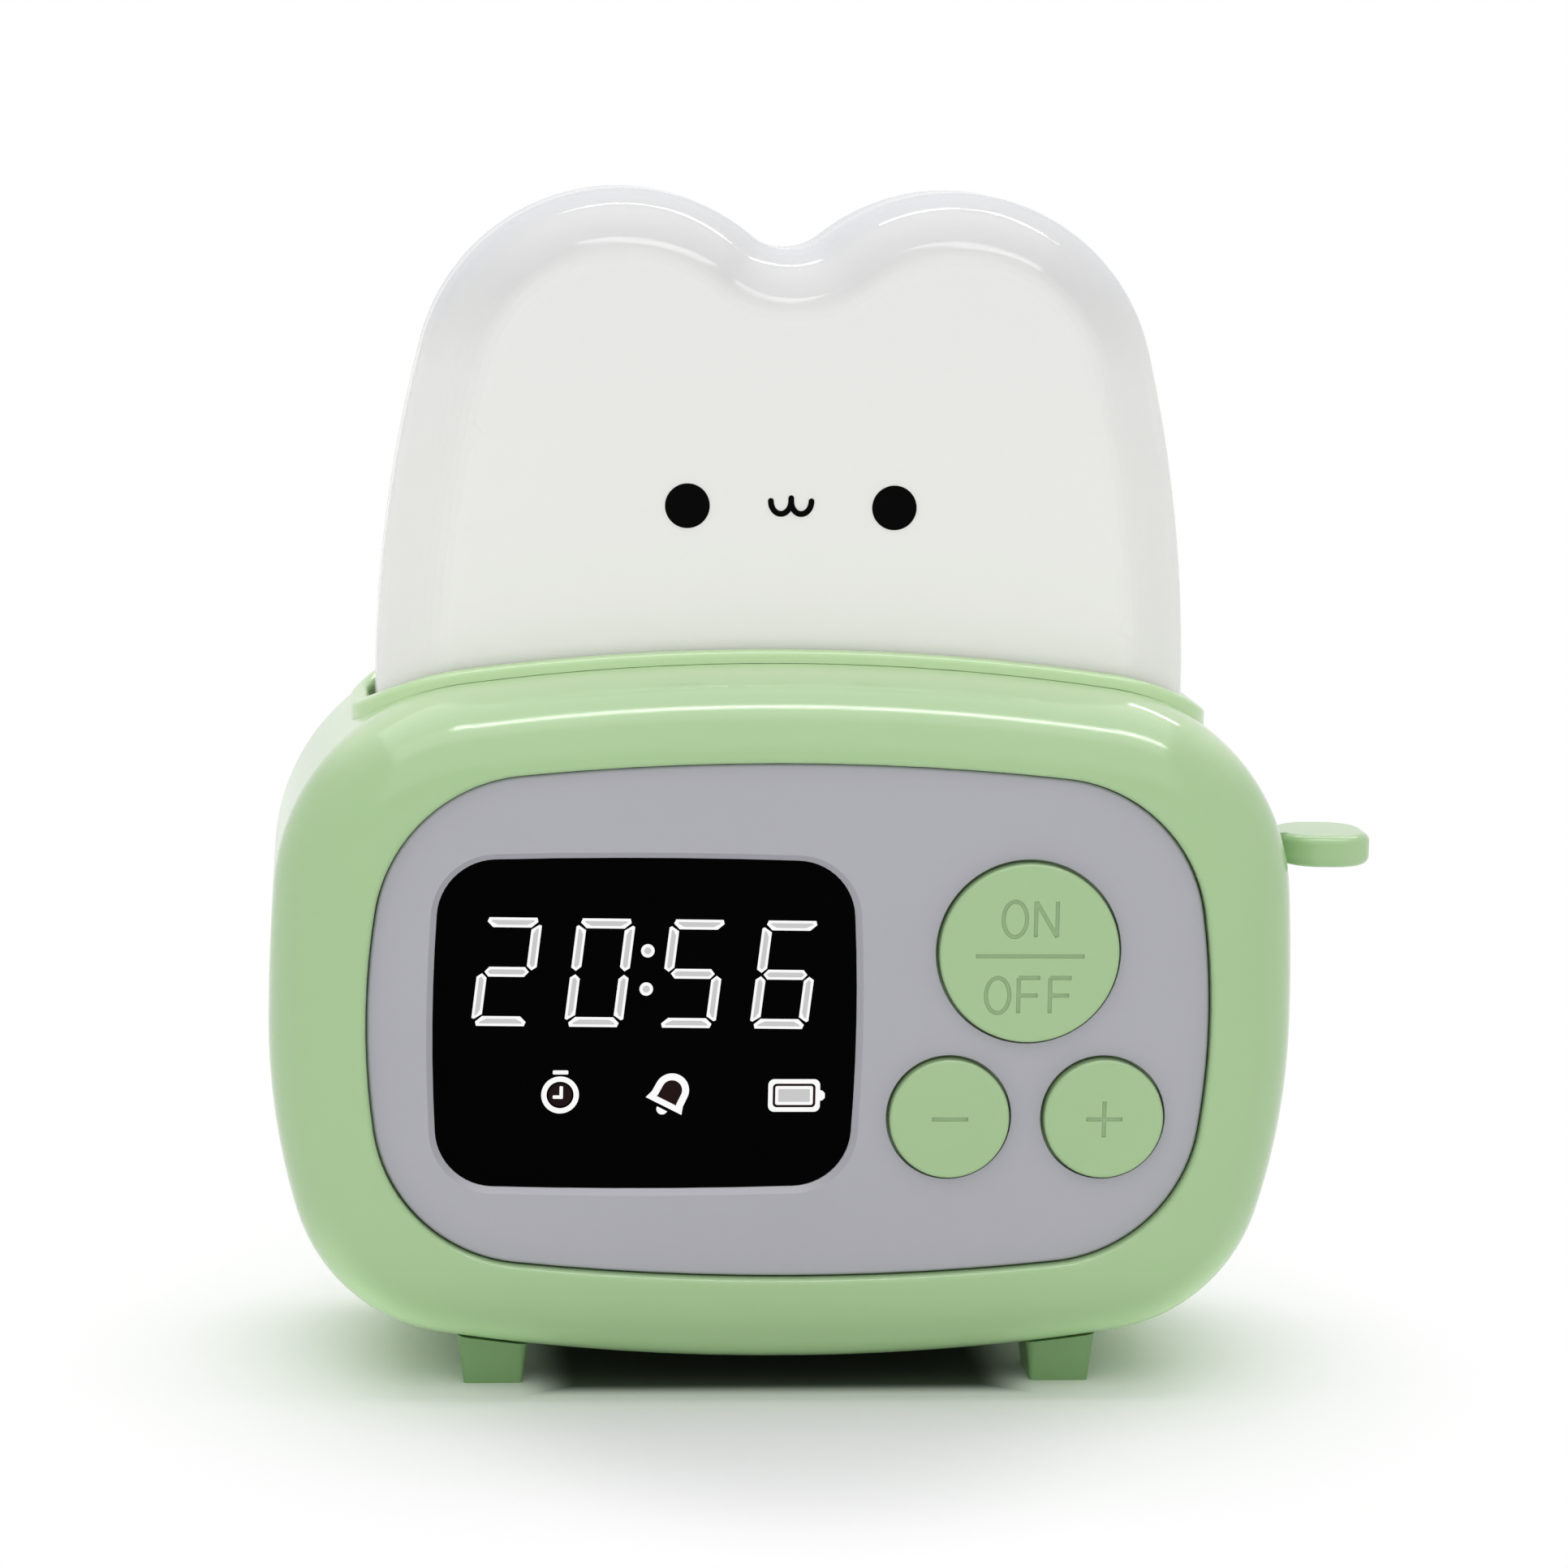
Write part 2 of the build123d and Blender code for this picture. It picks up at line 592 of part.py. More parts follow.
def make_rear_case():
    """Rear shell: back wall, tongue, screw tubes, speaker ring, ribs, rail and shelves."""
    shell = case_wall() & block((-FAR, FAR), (0, FAR), (-FAR, FAR))
    for x, z in CASE_BOSSES:
        shell += both_sides(rod(x, z, CASE_BOSS_R, 0, BACK_Y) & case_form(WALL / 2))
    shell += tray_shelf(SHELF_Y)
    shell += lever_rail()
    shell += parting_ring(WALL / 2 + LAP_GAP, WALL, -LAP_DEPTH)
    shell += [mechanism_shelf(), speaker_ring()] + charge_ribs()
    for x, z in CASE_BOSSES:
        shell -= both_sides(rod(x, z, CASE_SCREW_R + SCREW_GAP, -LAP_DEPTH, FAR))
        shell -= both_sides(rod(x, z, CASE_HEAD_R + CASE_HEAD_GAP, CASE_HEAD_SEAT, FAR))
    shell -= sound_holes()
    socket = RectangleRounded(
        USB_W + 2 * USB_GAP, USB_H + 2 * USB_GAP, USB_H / 2 + USB_GAP - LAP_GAP
    )
    shell -= slab(Pos(USB_X, 0) * socket, USB_Z, INSIDE_BACK_Y - USB_L, FAR)
    return shell - shared_openings()


def make_slot_trim():
    """Trim ring: a lip that follows the case's curved top, and a skirt down through its slot."""
    outer = TRIM_GAP + TRIM_LIP
    over_case = slab(case_outline(TRIM_H), CASE_Z, FRONT_Y, BACK_Y)
    case_solid = slab(case_outline(), CASE_Z, FRONT_Y, BACK_Y)
    lip = (tower(bread_plan(outer), CASE_Z, FAR) & over_case) - case_solid
    skirt = tower(bread_plan(TRIM_GAP + TRIM_SKIRT), SKIRT_Z, FAR) & over_case
    ring = (lip + skirt) - tower(bread_plan(TRIM_GAP), CASE_Z, FAR)
    top_edges = [edge for edge in ring.edges() if follows_lip(edge)]
    return fillet(top_edges, TRIM_EDGE)


def follows_lip(edge):
    """Whether an edge runs round the top of the trim's lip."""
    middle = edge @ 0.5
    beyond = slab(case_outline(TRIM_H - TRIM_EDGE / 2), CASE_Z, FRONT_Y, BACK_Y)
    return middle.Z > CASE_Z and not beyond.is_inside(middle)


# ---- Front panel, display and buttons ---------------------------------------------------------------
def make_front_panel():
    """Panel with the display window, three button holes and four bosses for the main board."""
    panel = slab(panel_outline(), PANEL_Z, PANEL_Y, PANEL_BACK_Y)
    panel = fillet(front_edges(panel), PANEL_EDGE)
    panel -= slab(window_outline(), PANEL_Z, PANEL_Y, PANEL_BACK_Y)
    mouth = panel.faces().filter_by(Axis.Y).sort_by(Axis.Y)[0].inner_wires()[0].edges()
    panel = chamfer(mouth, WINDOW_BEVEL)
    panel -= slab(window_outline(LENS_LAP + LENS_GAP), PANEL_Z, LENS_Y, PANEL_BACK_Y)
    for (x, z), radius in BUTTONS.values():
        panel -= rod(x, PANEL_Z + z, radius + BUTTON_GAP, PANEL_Y, PANEL_BACK_Y)
    for x, z in BOARD_BOSSES:
        panel += rod(x, PANEL_Z + z, BOSS_R, PANEL_BACK_Y, BOARD_Y)
        panel -= rod(x, PANEL_Z + z, BOARD_SCREW_R, PANEL_BACK_Y, BOARD_Y)
    return panel


def make_display_window():
    """Tinted lens, in the pocket behind the panel's window."""
    return slab(window_outline(LENS_LAP), PANEL_Z, LENS_Y, LENS_BACK_Y)


def make_display_module():
    """LED display module, soldered to the main board behind the lens."""
    face = RectangleRounded(MODULE_W, MODULE_H, MODULE_ROUND)
    return slab(Pos(WINDOW_X, WINDOW_Z) * face, PANEL_Z, LENS_BACK_Y + MODULE_GAP, BOARD_Y)


def make_button(name):
    """Button cap: hollow from behind, with a flange under the panel and a post for its switch."""
    (x, z), radius = BUTTONS[name]
    front_y = PANEL_Y - BUTTON_PROUD
    cap = rod(x, PANEL_Z + z, radius, front_y, BUTTON_BACK_Y)
    cap = fillet(front_edges(cap), BUTTON_EDGE)
    hollow = rod(x, PANEL_Z + z, radius - BUTTON_WALL, front_y + BUTTON_SKIN, BUTTON_BACK_Y)
    cap -= hollow
    cap += rod(x, PANEL_Z + z, BUTTON_POST_R, front_y + BUTTON_SKIN, BUTTON_BACK_Y)
    flange = rod(x, PANEL_Z + z, radius + BUTTON_FLANGE, PANEL_BACK_Y, BUTTON_BACK_Y)
    cap += flange - rod(x, PANEL_Z + z, radius - BUTTON_WALL, PANEL_BACK_Y, BUTTON_BACK_Y)
    return cap


def make_plunger(name):
    """The pin of a tact switch, which its button pushes in."""
    (x, z), _ = BUTTONS[name]
    return rod(x, PANEL_Z + z, TACT_PIN_R, BUTTON_BACK_Y, TACT_Y + TACT_PIN_IN)


def make_tact_switches():
    """Three tact switches on the main board, with bores for their pins."""
    switches = []
    for (x, z), _ in BUTTONS.values():
        square = Pos(x, z) * RectangleRounded(TACT_SIZE, TACT_SIZE, TACT_ROUND)
        body = slab(square, PANEL_Z, TACT_Y, BOARD_Y)
        floor_y = TACT_Y + TACT_PIN_IN + BUTTON_TRAVEL + TACT_BORE_FLOOR
        switches.append(body - rod(x, PANEL_Z + z, TACT_PIN_R + TACT_PIN_GAP, TACT_Y, floor_y))
    return group(switches)


def make_main_board():
    """Main circuit board: the panel's outline made smaller, with its chip and connector."""
    board = slab(panel_outline(-BOARD_INSET), PANEL_Z, BOARD_Y, BOARD_BACK_Y)
    for x, z in BOARD_BOSSES:
        board -= rod(x, PANEL_Z + z, BOARD_SCREW_R + SCREW_GAP, BOARD_Y, BOARD_BACK_Y)
    chip = Pos(*CHIP_AT) * Rectangle(CHIP_W, CHIP_H)
    board += slab(chip, PANEL_Z, BOARD_BACK_Y, BOARD_BACK_Y + CHIP_T)
    connector = Pos(*CONNECTOR_AT) * Rectangle(CONNECTOR_W, CONNECTOR_H)
    return board + slab(connector, PANEL_Z, BOARD_BACK_Y, BOARD_BACK_Y + CONNECTOR_T)


def make_board_screws():
    """Four screws that hold the main board to the panel's bosses."""
    screws = []
    for x, z in BOARD_BOSSES:
        shank = rod(x, PANEL_Z + z, BOARD_SCREW_R, BOARD_BACK_Y - BOARD_SCREW_L, BOARD_BACK_Y)
        head_y = BOARD_BACK_Y + BOARD_SCREW_HEAD_T
        head = rod(x, PANEL_Z + z, BOARD_SCREW_HEAD_R, BOARD_BACK_Y, head_y)
        screws.append(shank + head)
    return group(screws)


# ---- Night light --------------------------------------------------------------------------------------
def bread_form(bottom_z, inset=0.0):
    """The slice's outer form, or its hollow, with soft front and rear edges."""
    half_t = BREAD_T / 2 - inset
    form = slab(bread_outline(bottom_z, inset), 0, -half_t, half_t)
    soft = [
        edge
        for edge in front_edges(form) + back_edges(form)
        if edge.center().Z > bottom_z + BREAD_ROUND / 2
    ]
    return fillet(soft, BREAD_ROUND - inset)


def make_bread_diffuser():
    """Translucent slice of bread: hollow, open below, with a flange under the trim's skirt."""
    slice_form = bread_form(BREAD_BOTTOM_Z)
    flange = tower(bread_plan(BREAD_FLANGE), BREAD_BOTTOM_Z, SKIRT_Z)
    return (slice_form + flange) - bread_form(BREAD_BOTTOM_Z - BREAD_WALL, BREAD_WALL)


def make_lamp_tray():
    """Tray that closes the bread from below and carries the lamp's board."""
    return tower(bread_plan(BREAD_FLANGE), TRAY_Z - TRAY_T, TRAY_Z)


def make_lamp_board():
    """The lamp's circuit board."""
    outline = RectangleRounded(LAMP_BOARD_W, LAMP_BOARD_D, BOARD_T)
    return tower(outline, TRAY_Z, TRAY_Z + LAMP_BOARD_T)


def make_lamp_leds():
    """The row of LEDs that lights the bread."""
    bottom_z = TRAY_Z + LAMP_BOARD_T
    first_x = -LED_PITCH * (LED_COUNT - 1) / 2
    leds = []
    for index in range(LED_COUNT):
        x = first_x + index * LED_PITCH
        leds.append(tower(Pos(x, 0) * Rectangle(LED_W, LED_D), bottom_z, bottom_z + LED_T))
    return group(leds)


# ---- Lever --------------------------------------------------------------------------------------------
def make_light_lever():
    """Lever: rounded paddle outside, neck through the slot, carriage and lug inside."""
    neck_root = CARRIAGE_X + CARRIAGE_T / 2
    low_z = LEVER_Z - LEVER_T / 2
    paddle_l = LEVER_TIP - LEVER_PADDLE_X
    paddle_x = (LEVER_TIP + LEVER_PADDLE_X) / 2
    plan = Pos(paddle_x, 0) * RectangleRounded(paddle_l, LEVER_PADDLE_W, LEVER_PADDLE_ROUND)
    neck_l = paddle_x - neck_root
    plan += Pos(neck_root + neck_l / 2, 0) * Rectangle(neck_l, LEVER_NECK_W)
    arm = tower(plan, low_z, low_z + LEVER_T)
    rims = [
        edge
        for edge in arm.edges().filter_by(Plane.XY)
        if edge.center().X > LEVER_PADDLE_X + LEVER_EDGE / 2
    ]
    arm = fillet(rims, LEVER_EDGE)
    half_w = CARRIAGE_W / 2
    z_span = (CARRIAGE_BOTTOM_Z, CARRIAGE_TOP_Z)
    carriage = block((CARRIAGE_X, CARRIAGE_X + CARRIAGE_T), (-half_w, half_w), z_span)
    apron_x = CARRIAGE_X + CARRIAGE_T - APRON_T
    apron_z = (CARRIAGE_BOTTOM_Z - APRON_H, CARRIAGE_BOTTOM_Z)
    carriage += block((apron_x, apron_x + APRON_T), (-half_w, half_w), apron_z)
    half_lug = LUG_W / 2
    lug_low = lug_bottom_z()
    lug = block((CARRIAGE_X - LUG_L, CARRIAGE_X), (-half_lug, half_lug), (lug_low, lug_low + LUG_H))
    return arm + carriage + lug


def lug_bottom_z():
    """Underside of the lug, which meets the lamp switch's pin when the lever is down."""
    return SWITCH_Z + TACT_H + TACT_PIN_OUT + SWITCH_GAP + LEVER_TRAVEL


def make_lever_spring():
    """Coil spring between the mechanism shelf and the carriage."""
    bottom_z = MECH_SHELF_Z + SPRING_WIRE_R
    height = CARRIAGE_BOTTOM_Z - MECH_SHELF_Z - 2 * SPRING_WIRE_R
    coil = Helix(height / SPRING_TURNS, height, SPRING_R, center=(SPRING_X, 0, bottom_z))
    section = Plane(origin=coil @ 0, z_dir=coil % 0) * Circle(SPRING_WIRE_R)
    return sweep(section, path=coil, is_frenet=True)


def make_switch_board():
    """Small board on the mechanism shelf, under the lamp switch."""
    half_w = SWITCH_BOARD_W / 2
    x_span = (SWITCH_X - half_w, SWITCH_X + TACT_SIZE / 2)
    return block(x_span, (SHELF_FRONT_Y, half_w), (MECH_SHELF_Z, SWITCH_Z))


def make_lamp_switch():
    """Tact switch that the lever's lug reaches at the end of its travel."""
    body = Pos(SWITCH_X, 0) * RectangleRounded(TACT_SIZE, TACT_SIZE, TACT_ROUND)
    pin = Pos(SWITCH_X, 0) * Circle(TACT_PIN_R)
    top_z = SWITCH_Z + TACT_H
    return tower(body, SWITCH_Z, top_z) + tower(pin, top_z, top_z + TACT_PIN_OUT)


# ---- Power and sound -----------------------------------------------------------------------------------
def make_battery():
    """Flat rechargeable cell, taped to the rear wall."""
    back_y = INSIDE_BACK_Y - TAPE_T
    face = Pos(BATTERY_X, 0) * RectangleRounded(BATTERY_W, BATTERY_H, BATTERY_ROUND)
    cell = slab(face, BATTERY_Z, back_y - BATTERY_T, back_y)
    return fillet(front_edges(cell) + back_edges(cell), BATTERY_ROUND / 2)


def make_battery_tape():
    """Foam tape between the cell and the rear wall."""
    width = BATTERY_W - 2 * TAPE_INSET
    height = BATTERY_H - 2 * TAPE_INSET
    face = Pos(BATTERY_X, 0) * RectangleRounded(width, height, BATTERY_ROUND)
    return slab(face, BATTERY_Z, INSIDE_BACK_Y - TAPE_T, INSIDE_BACK_Y)


def make_speaker():
    """Small round speaker with its magnet, in the ring behind the sound holes."""
    front_y = INSIDE_BACK_Y - SPEAKER_T
    frame = rod(SPEAKER_X, SPEAKER_Z, SPEAKER_R, front_y, INSIDE_BACK_Y)
    magnet = rod(SPEAKER_X, SPEAKER_Z, SPEAKER_MAGNET_R, front_y - SPEAKER_MAGNET_T, front_y)
    return frame + magnet


def make_usb_socket():
    """Charging socket: a flat tube with the contact tongue inside."""
    front_y = BACK_Y - USB_L
    outer = RectangleRounded(USB_W, USB_H, USB_H / 2 - LAP_GAP)
    inner_h = USB_H - 2 * USB_WALL
    inner = RectangleRounded(USB_W - 2 * USB_WALL, inner_h, inner_h / 2 - LAP_GAP)
    shell = slab(Pos(USB_X, 0) * outer, USB_Z, front_y, BACK_Y)
    shell -= slab(Pos(USB_X, 0) * inner, USB_Z, front_y + USB_TONGUE_BACK, BACK_Y)
    tongue = Pos(USB_X, 0) * Rectangle(USB_TONGUE_W, USB_TONGUE_T)
    return shell + slab(tongue, USB_Z, front_y, BACK_Y - USB_TONGUE_BACK)


def make_charge_board():
    """Charging board under the socket, on its two ribs."""
    half_w = CHARGE_BOARD_W / 2
    y_span = (INSIDE_BACK_Y - CHARGE_BOARD_D, INSIDE_BACK_Y - TAPE_T)
    z_span = (USB_BOARD_Z - CHARGE_BOARD_T, USB_BOARD_Z)
    return block((USB_X - half_w, USB_X + half_w), y_span, z_span)


# ---- Feet and screws -----------------------------------------------------------------------------------
def make_foot(side, depth):
    """One foot: a block with drafted sides, cut to the belly's curve, with its peg."""
    at_table = Pos(side * FOOT_X, depth * FOOT_Y) * RectangleRounded(FOOT_W, FOOT_D, FOOT_EDGE)
    foot = extrude(at_table, amount=CASE_Z / 4, taper=-FOOT_TAPER)
    foot -= slab(case_outline(), CASE_Z, FRONT_Y, BACK_Y)
    inside = slab(case_outline(-WALL), CASE_Z, FRONT_Y, BACK_Y)
    belly_z = lowest_at(inside, side * FOOT_X)
    peg_top = belly_z + FOOT_PEG_OUT
    peg = Pos(side * FOOT_X, depth * FOOT_Y, 0) * Cylinder(FOOT_PEG_R, 2 * peg_top)
    return foot + (peg & block((-FAR, FAR), (-FAR, FAR), (CASE_LIFT / 2, peg_top)))


def lowest_at(form, x):
    """Lowest height of a form on the plane at x."""
    return (form & block((x - LAP_GAP, x + LAP_GAP), (-1, 1), (0, FAR))).bounding_box().min.Z


def make_case_screws():
    """Four long screws through the rear shell's tubes into the front shell's bosses."""
    screws = []
    for x, z in CASE_BOSSES:
        shank = rod(x, z, CASE_PILOT_R, CASE_HEAD_SEAT - CASE_SCREW_L, CASE_HEAD_SEAT)
        head = rod(x, z, CASE_HEAD_R, CASE_HEAD_SEAT, CASE_HEAD_SEAT + CASE_HEAD_T)
        head = fillet(back_edges(head), CASE_HEAD_T / 3)
        screws += both_sides(shank + head)
    return group(screws)


# ---- All pieces ----------------------------------------------------------------------------------------
def make_pieces():
    """Every node's name and its piece."""
    pieces = {
        "front_case": make_front_case(),
        "rear_case": make_rear_case(),
        "slot_trim": make_slot_trim(),
        "front_panel": make_front_panel(),
        "display_window": make_display_window(),
        "display_module": make_display_module(),
        "tact_switches": make_tact_switches(),
        "main_board": make_main_board(),
        "board_screws": make_board_screws(),
        "bread_diffuser": make_bread_diffuser(),
        "lamp_tray": make_lamp_tray(),
        "lamp_board": make_lamp_board(),
        "lamp_leds": make_lamp_leds(),
        "light_lever": make_light_lever(),
        "lever_spring": make_lever_spring(),
        "switch_board": make_switch_board(),
        "lamp_switch": make_lamp_switch(),
        "battery": make_battery(),
        "battery_tape": make_battery_tape(),
        "speaker": make_speaker(),
        "usb_socket": make_usb_socket(),
        "charge_board": make_charge_board(),
        "case_screws": make_case_screws(),
    }
    for name in BUTTONS:
        pieces[name + "_button"] = make_button(name)
        pieces[name + "_plunger"] = make_plunger(name)
    for side_name, side in (("left", -1), ("right", 1)):
        for depth_name, depth in (("front", -1), ("rear", 1)):
            pieces["foot_" + depth_name + "_" + side_name] = make_foot(side, depth)
    return pieces


def main():
    """Write each piece to its own STEP file, moved under the whole clock's centre."""
    os.makedirs("parts", exist_ok=True)
    for name, piece in make_pieces().items():
        export_step(Pos(CENTRE_X, 0, 0) * piece, "parts/" + name + ".step")


main()
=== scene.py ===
"""Looks of a kids' alarm clock shaped like a little toaster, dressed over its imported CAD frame.

The CAD nodes keep their shapes and get finishes. Pieces made here are the button caps with
their engraved signs, the lit figures and signs of the display, the printed face of the bread
slice, the screws at the back and the lever's spring. Shapes are worked out in millimetres and
their meshes are in metres, as the frame is.
"""
import json
import logging
import math
from dataclasses import dataclass, field
from enum import Enum
from typing import Any, Callable, Iterable, Sequence

import bmesh
import bpy
from mathutils import Matrix, Vector


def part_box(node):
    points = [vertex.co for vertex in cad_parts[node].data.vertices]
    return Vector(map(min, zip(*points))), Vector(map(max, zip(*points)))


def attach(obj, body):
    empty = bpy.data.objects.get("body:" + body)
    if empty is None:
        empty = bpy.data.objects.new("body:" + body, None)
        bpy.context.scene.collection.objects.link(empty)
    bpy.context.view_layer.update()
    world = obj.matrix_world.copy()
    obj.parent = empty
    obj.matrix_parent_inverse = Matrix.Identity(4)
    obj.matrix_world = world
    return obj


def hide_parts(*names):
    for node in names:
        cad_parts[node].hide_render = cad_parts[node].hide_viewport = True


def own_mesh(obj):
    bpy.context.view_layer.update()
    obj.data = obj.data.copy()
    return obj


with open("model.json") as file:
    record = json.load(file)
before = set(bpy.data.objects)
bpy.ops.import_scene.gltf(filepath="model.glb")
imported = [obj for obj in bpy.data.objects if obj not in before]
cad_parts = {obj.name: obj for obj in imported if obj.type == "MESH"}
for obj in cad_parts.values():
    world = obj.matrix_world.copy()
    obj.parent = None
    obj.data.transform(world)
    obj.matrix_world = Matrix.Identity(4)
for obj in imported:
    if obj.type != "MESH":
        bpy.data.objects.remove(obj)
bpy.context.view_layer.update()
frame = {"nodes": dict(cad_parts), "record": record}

LOG = logging.getLogger("clock")
MM = 0.001
CASE_MIDDLE_X = -4.95 * MM
CORNER_STEPS = 8
SHARP_DEGREES = 32.0
SAME_PLACE = 1e-6
WELD = 1e-7
Point = tuple[float, float]
Span = tuple[float, float]
Loop = list[Point]
Place = tuple[float, float, float]
Color = tuple[float, float, float, float]


class Body(str, Enum):
    """The bodies of the frame that pieces ride on."""

    CLOCK = "clock"
    START_STOP = "start_stop"
    MINUTE = "minute"
    SECOND = "second"


class Slot(str, Enum):
    """The record's material slots."""

    GREEN = "green_plastic"
    PANEL = "panel_plastic"
    MILKY = "milky_plastic"
    LENS = "tinted_lens"
    BLACK = "black_plastic"
    BOARD = "circuit_board"
    WHITE = "white_plastic"
    LED = "led_package"
    STEEL = "steel"
    FOIL = "cell_foil"
    FOAM = "foam"


# ---- Node graphs ------------------------------------------------------------------------------
def paint(red: int, green: int, blue: int) -> Color:
    """Turn a colour as a screen shows it into the linear colour that a shader takes.

    Args:
        red: Red from 0 to 255.
        green: Green from 0 to 255.
        blue: Blue from 0 to 255.

    Returns:
        The linear colour, opaque.
    """

    def linear(level: int) -> float:
        """One channel made linear."""
        share = level / 255
        return share / 12.92 if share <= 0.04045 else ((share + 0.055) / 1.055) ** 2.4

    return (linear(red), linear(green), linear(blue), 1.0)


class Graph:
    """A node tree, with one method that adds any node."""

    def __init__(self, tree: bpy.types.NodeTree) -> None:
        """Start on a tree.

        Args:
            tree: The shader or geometry node tree to fill.
        """
        self.tree = tree

    def add(
        self,
        kind: str,
        settings: dict[str, Any] | None = None,
        inputs: dict[str | int, Any] | None = None,
    ) -> bpy.types.Node:
        """Add a node.

        Args:
            kind: The node's type.
            settings: Its properties, set first.
            inputs: A value or a link for each socket, by name or number.

        Returns:
            The new node.
        """
        node = self.tree.nodes.new(kind)
        for name, setting in (settings or {}).items():
            setattr(node, name, setting)
        for key, value in (inputs or {}).items():
            if isinstance(value, Signal):
                value = value.socket
            if isinstance(value, bpy.types.NodeSocket):
                self.tree.links.new(value, node.inputs[key])
            else:
                node.inputs[key].default_value = value
        return node

    def signal(
        self,
        kind: str,
        settings: dict[str, Any] | None = None,
        inputs: dict[str | int, Any] | None = None,
        output: str | int = 0,
    ) -> "Signal":
        """Add a node and take one of its outputs.

        Args:
            kind: The node's type.
            settings: Its properties.
            inputs: A value or a link for each socket.
            output: The output's name or number.

        Returns:
            The output, ready for sums.
        """
        return Signal(self, self.add(kind, settings, inputs).outputs[output])


def math_node(operation: str, swapped: bool = False) -> Callable[["Signal", Any], "Signal"]:
    """An operator on a signal that adds one Math node.

    Args:
        operation: What the node works out.
        swapped: Whether the signal is the second of the two values.

    Returns:
        The operator, for the class below.
    """

    def operator(signal: "Signal", other: Any) -> "Signal":
        """The result of the node on a signal and another value."""
        inputs = {0: other, 1: signal} if swapped else {0: signal, 1: other}
        return signal.graph.signal("ShaderNodeMath", {"operation": operation}, inputs)

    return operator


class Signal:
    """A socket's value, which takes part in Python sums and adds its Math nodes."""

    def __init__(self, graph: Graph, socket: bpy.types.NodeSocket) -> None:
        """Wrap a socket.

        Args:
            graph: The graph that the socket is in.
            socket: The output socket.
        """
        self.graph = graph
        self.socket = socket

    __add__ = __radd__ = math_node("ADD")
    __sub__ = math_node("SUBTRACT")
    __rsub__ = math_node("SUBTRACT", swapped=True)
    __mul__ = __rmul__ = math_node("MULTIPLY")
    __truediv__ = math_node("DIVIDE")
    above = math_node("GREATER_THAN")
    below = math_node("LESS_THAN")
    at_most = math_node("MINIMUM")
    at_least = math_node("MAXIMUM")

    def size(self) -> "Signal":
        """The value without its sign."""
        return math_node("ABSOLUTE")(self, 0.0)

    def natural_log(self) -> "Signal":
        """The natural logarithm of the value."""
        return math_node("LOGARITHM")(self, math.e)


class Surface(Graph):
    """A material's node tree with a Principled shader, filled by a finish."""

    def __init__(self, name: str) -> None:
        """Make an empty material.

        Args:
            name: The material's name.
        """
        self.material = bpy.data.materials.new(name)
        self.material.use_nodes = True
        super().__init__(self.material.node_tree)
        self.tree.nodes.clear()
        self.out = self.add("ShaderNodeOutputMaterial")

    def place(self) -> Signal:
        """Coordinates in the frame, in metres."""
        return self.signal("ShaderNodeTexCoord", output="Object")

    def axes(self) -> list[Signal]:
        """The frame's x, y and z, as three values in metres."""
        parts = self.add("ShaderNodeSeparateXYZ", inputs={0: self.place()})
        return [Signal(self, socket) for socket in parts.outputs]

    def noise(
        self, size_mm: float, detail: float = 2.0, stretch: Sequence[float] = (1, 1, 1)
    ) -> Signal:
        """Soft noise.

        Args:
            size_mm: Size of its patches in millimetres.
            detail: How many finer layers it has.
            stretch: Squeeze along x, y and z.

        Returns:
            A value about 0.5.
        """
        place = self.signal("ShaderNodeMapping", inputs={"Vector": self.place(), "Scale": stretch})
        inputs = {"Vector": place, "Scale": 1 / (size_mm * MM), "Detail": detail}
        return self.signal("ShaderNodeTexNoise", inputs=inputs)

    def blend(self, share: Any, first: Any, second: Any) -> Signal:
        """Mix two colours.

        Args:
            share: 0 for the first colour, 1 for the second.
            first: A colour or a link.
            second: A colour or a link.

        Returns:
            The mixed colour.
        """
        settings = {"data_type": "RGBA"}
        return self.signal("ShaderNodeMix", settings, {0: share, 6: first, 7: second}, output=2)

    def ramp(self, value: Signal, start: float, full: float) -> Signal:
        """A soft ramp between two levels of a value.

        Args:
            value: The value.
            start: The level where the ramp is 0.
            full: The level where it is 1, above the start or below it.

        Returns:
            The ramp.
        """
        settings = {"interpolation_type": "SMOOTHSTEP"}
        inputs = {0: value, 1: min(start, full), 2: max(start, full)}
        rising = self.signal("ShaderNodeMapRange", settings, inputs)
        return rising if start <= full else 1 - rising

    def bump(self, height: Signal, depth_mm: float) -> Signal:
        """A normal from a height, with the depth that a height of 1 stands for."""
        inputs = {"Height": height, "Distance": depth_mm * MM, "Strength": 1.0}
        return self.signal("ShaderNodeBump", inputs=inputs)


def shade(color: Color, factor: float) -> Color:
    """A colour made lighter or darker by a factor."""
    return (color[0] * factor, color[1] * factor, color[2] * factor, 1.0)


# ---- Finishes ---------------------------------------------------------------------------------
@dataclass(frozen=True)
class Finish:
    """A named finish. Each kind fills the sockets of one Principled shader."""

    name: str

    def sockets(self, surface: Surface) -> dict[str, Any]:
        """What each of the shader's sockets gets."""
        raise NotImplementedError(self.name)

    def make(self) -> bpy.types.Material:
        """Build the material.

        Returns:
            The material, with the filled shader on its output.
        """
        surface = Surface(self.name)
        shader = surface.add("ShaderNodeBsdfPrincipled", inputs=self.sockets(surface))
        surface.tree.links.new(shader.outputs[0], surface.out.inputs["Surface"])
        return surface.material


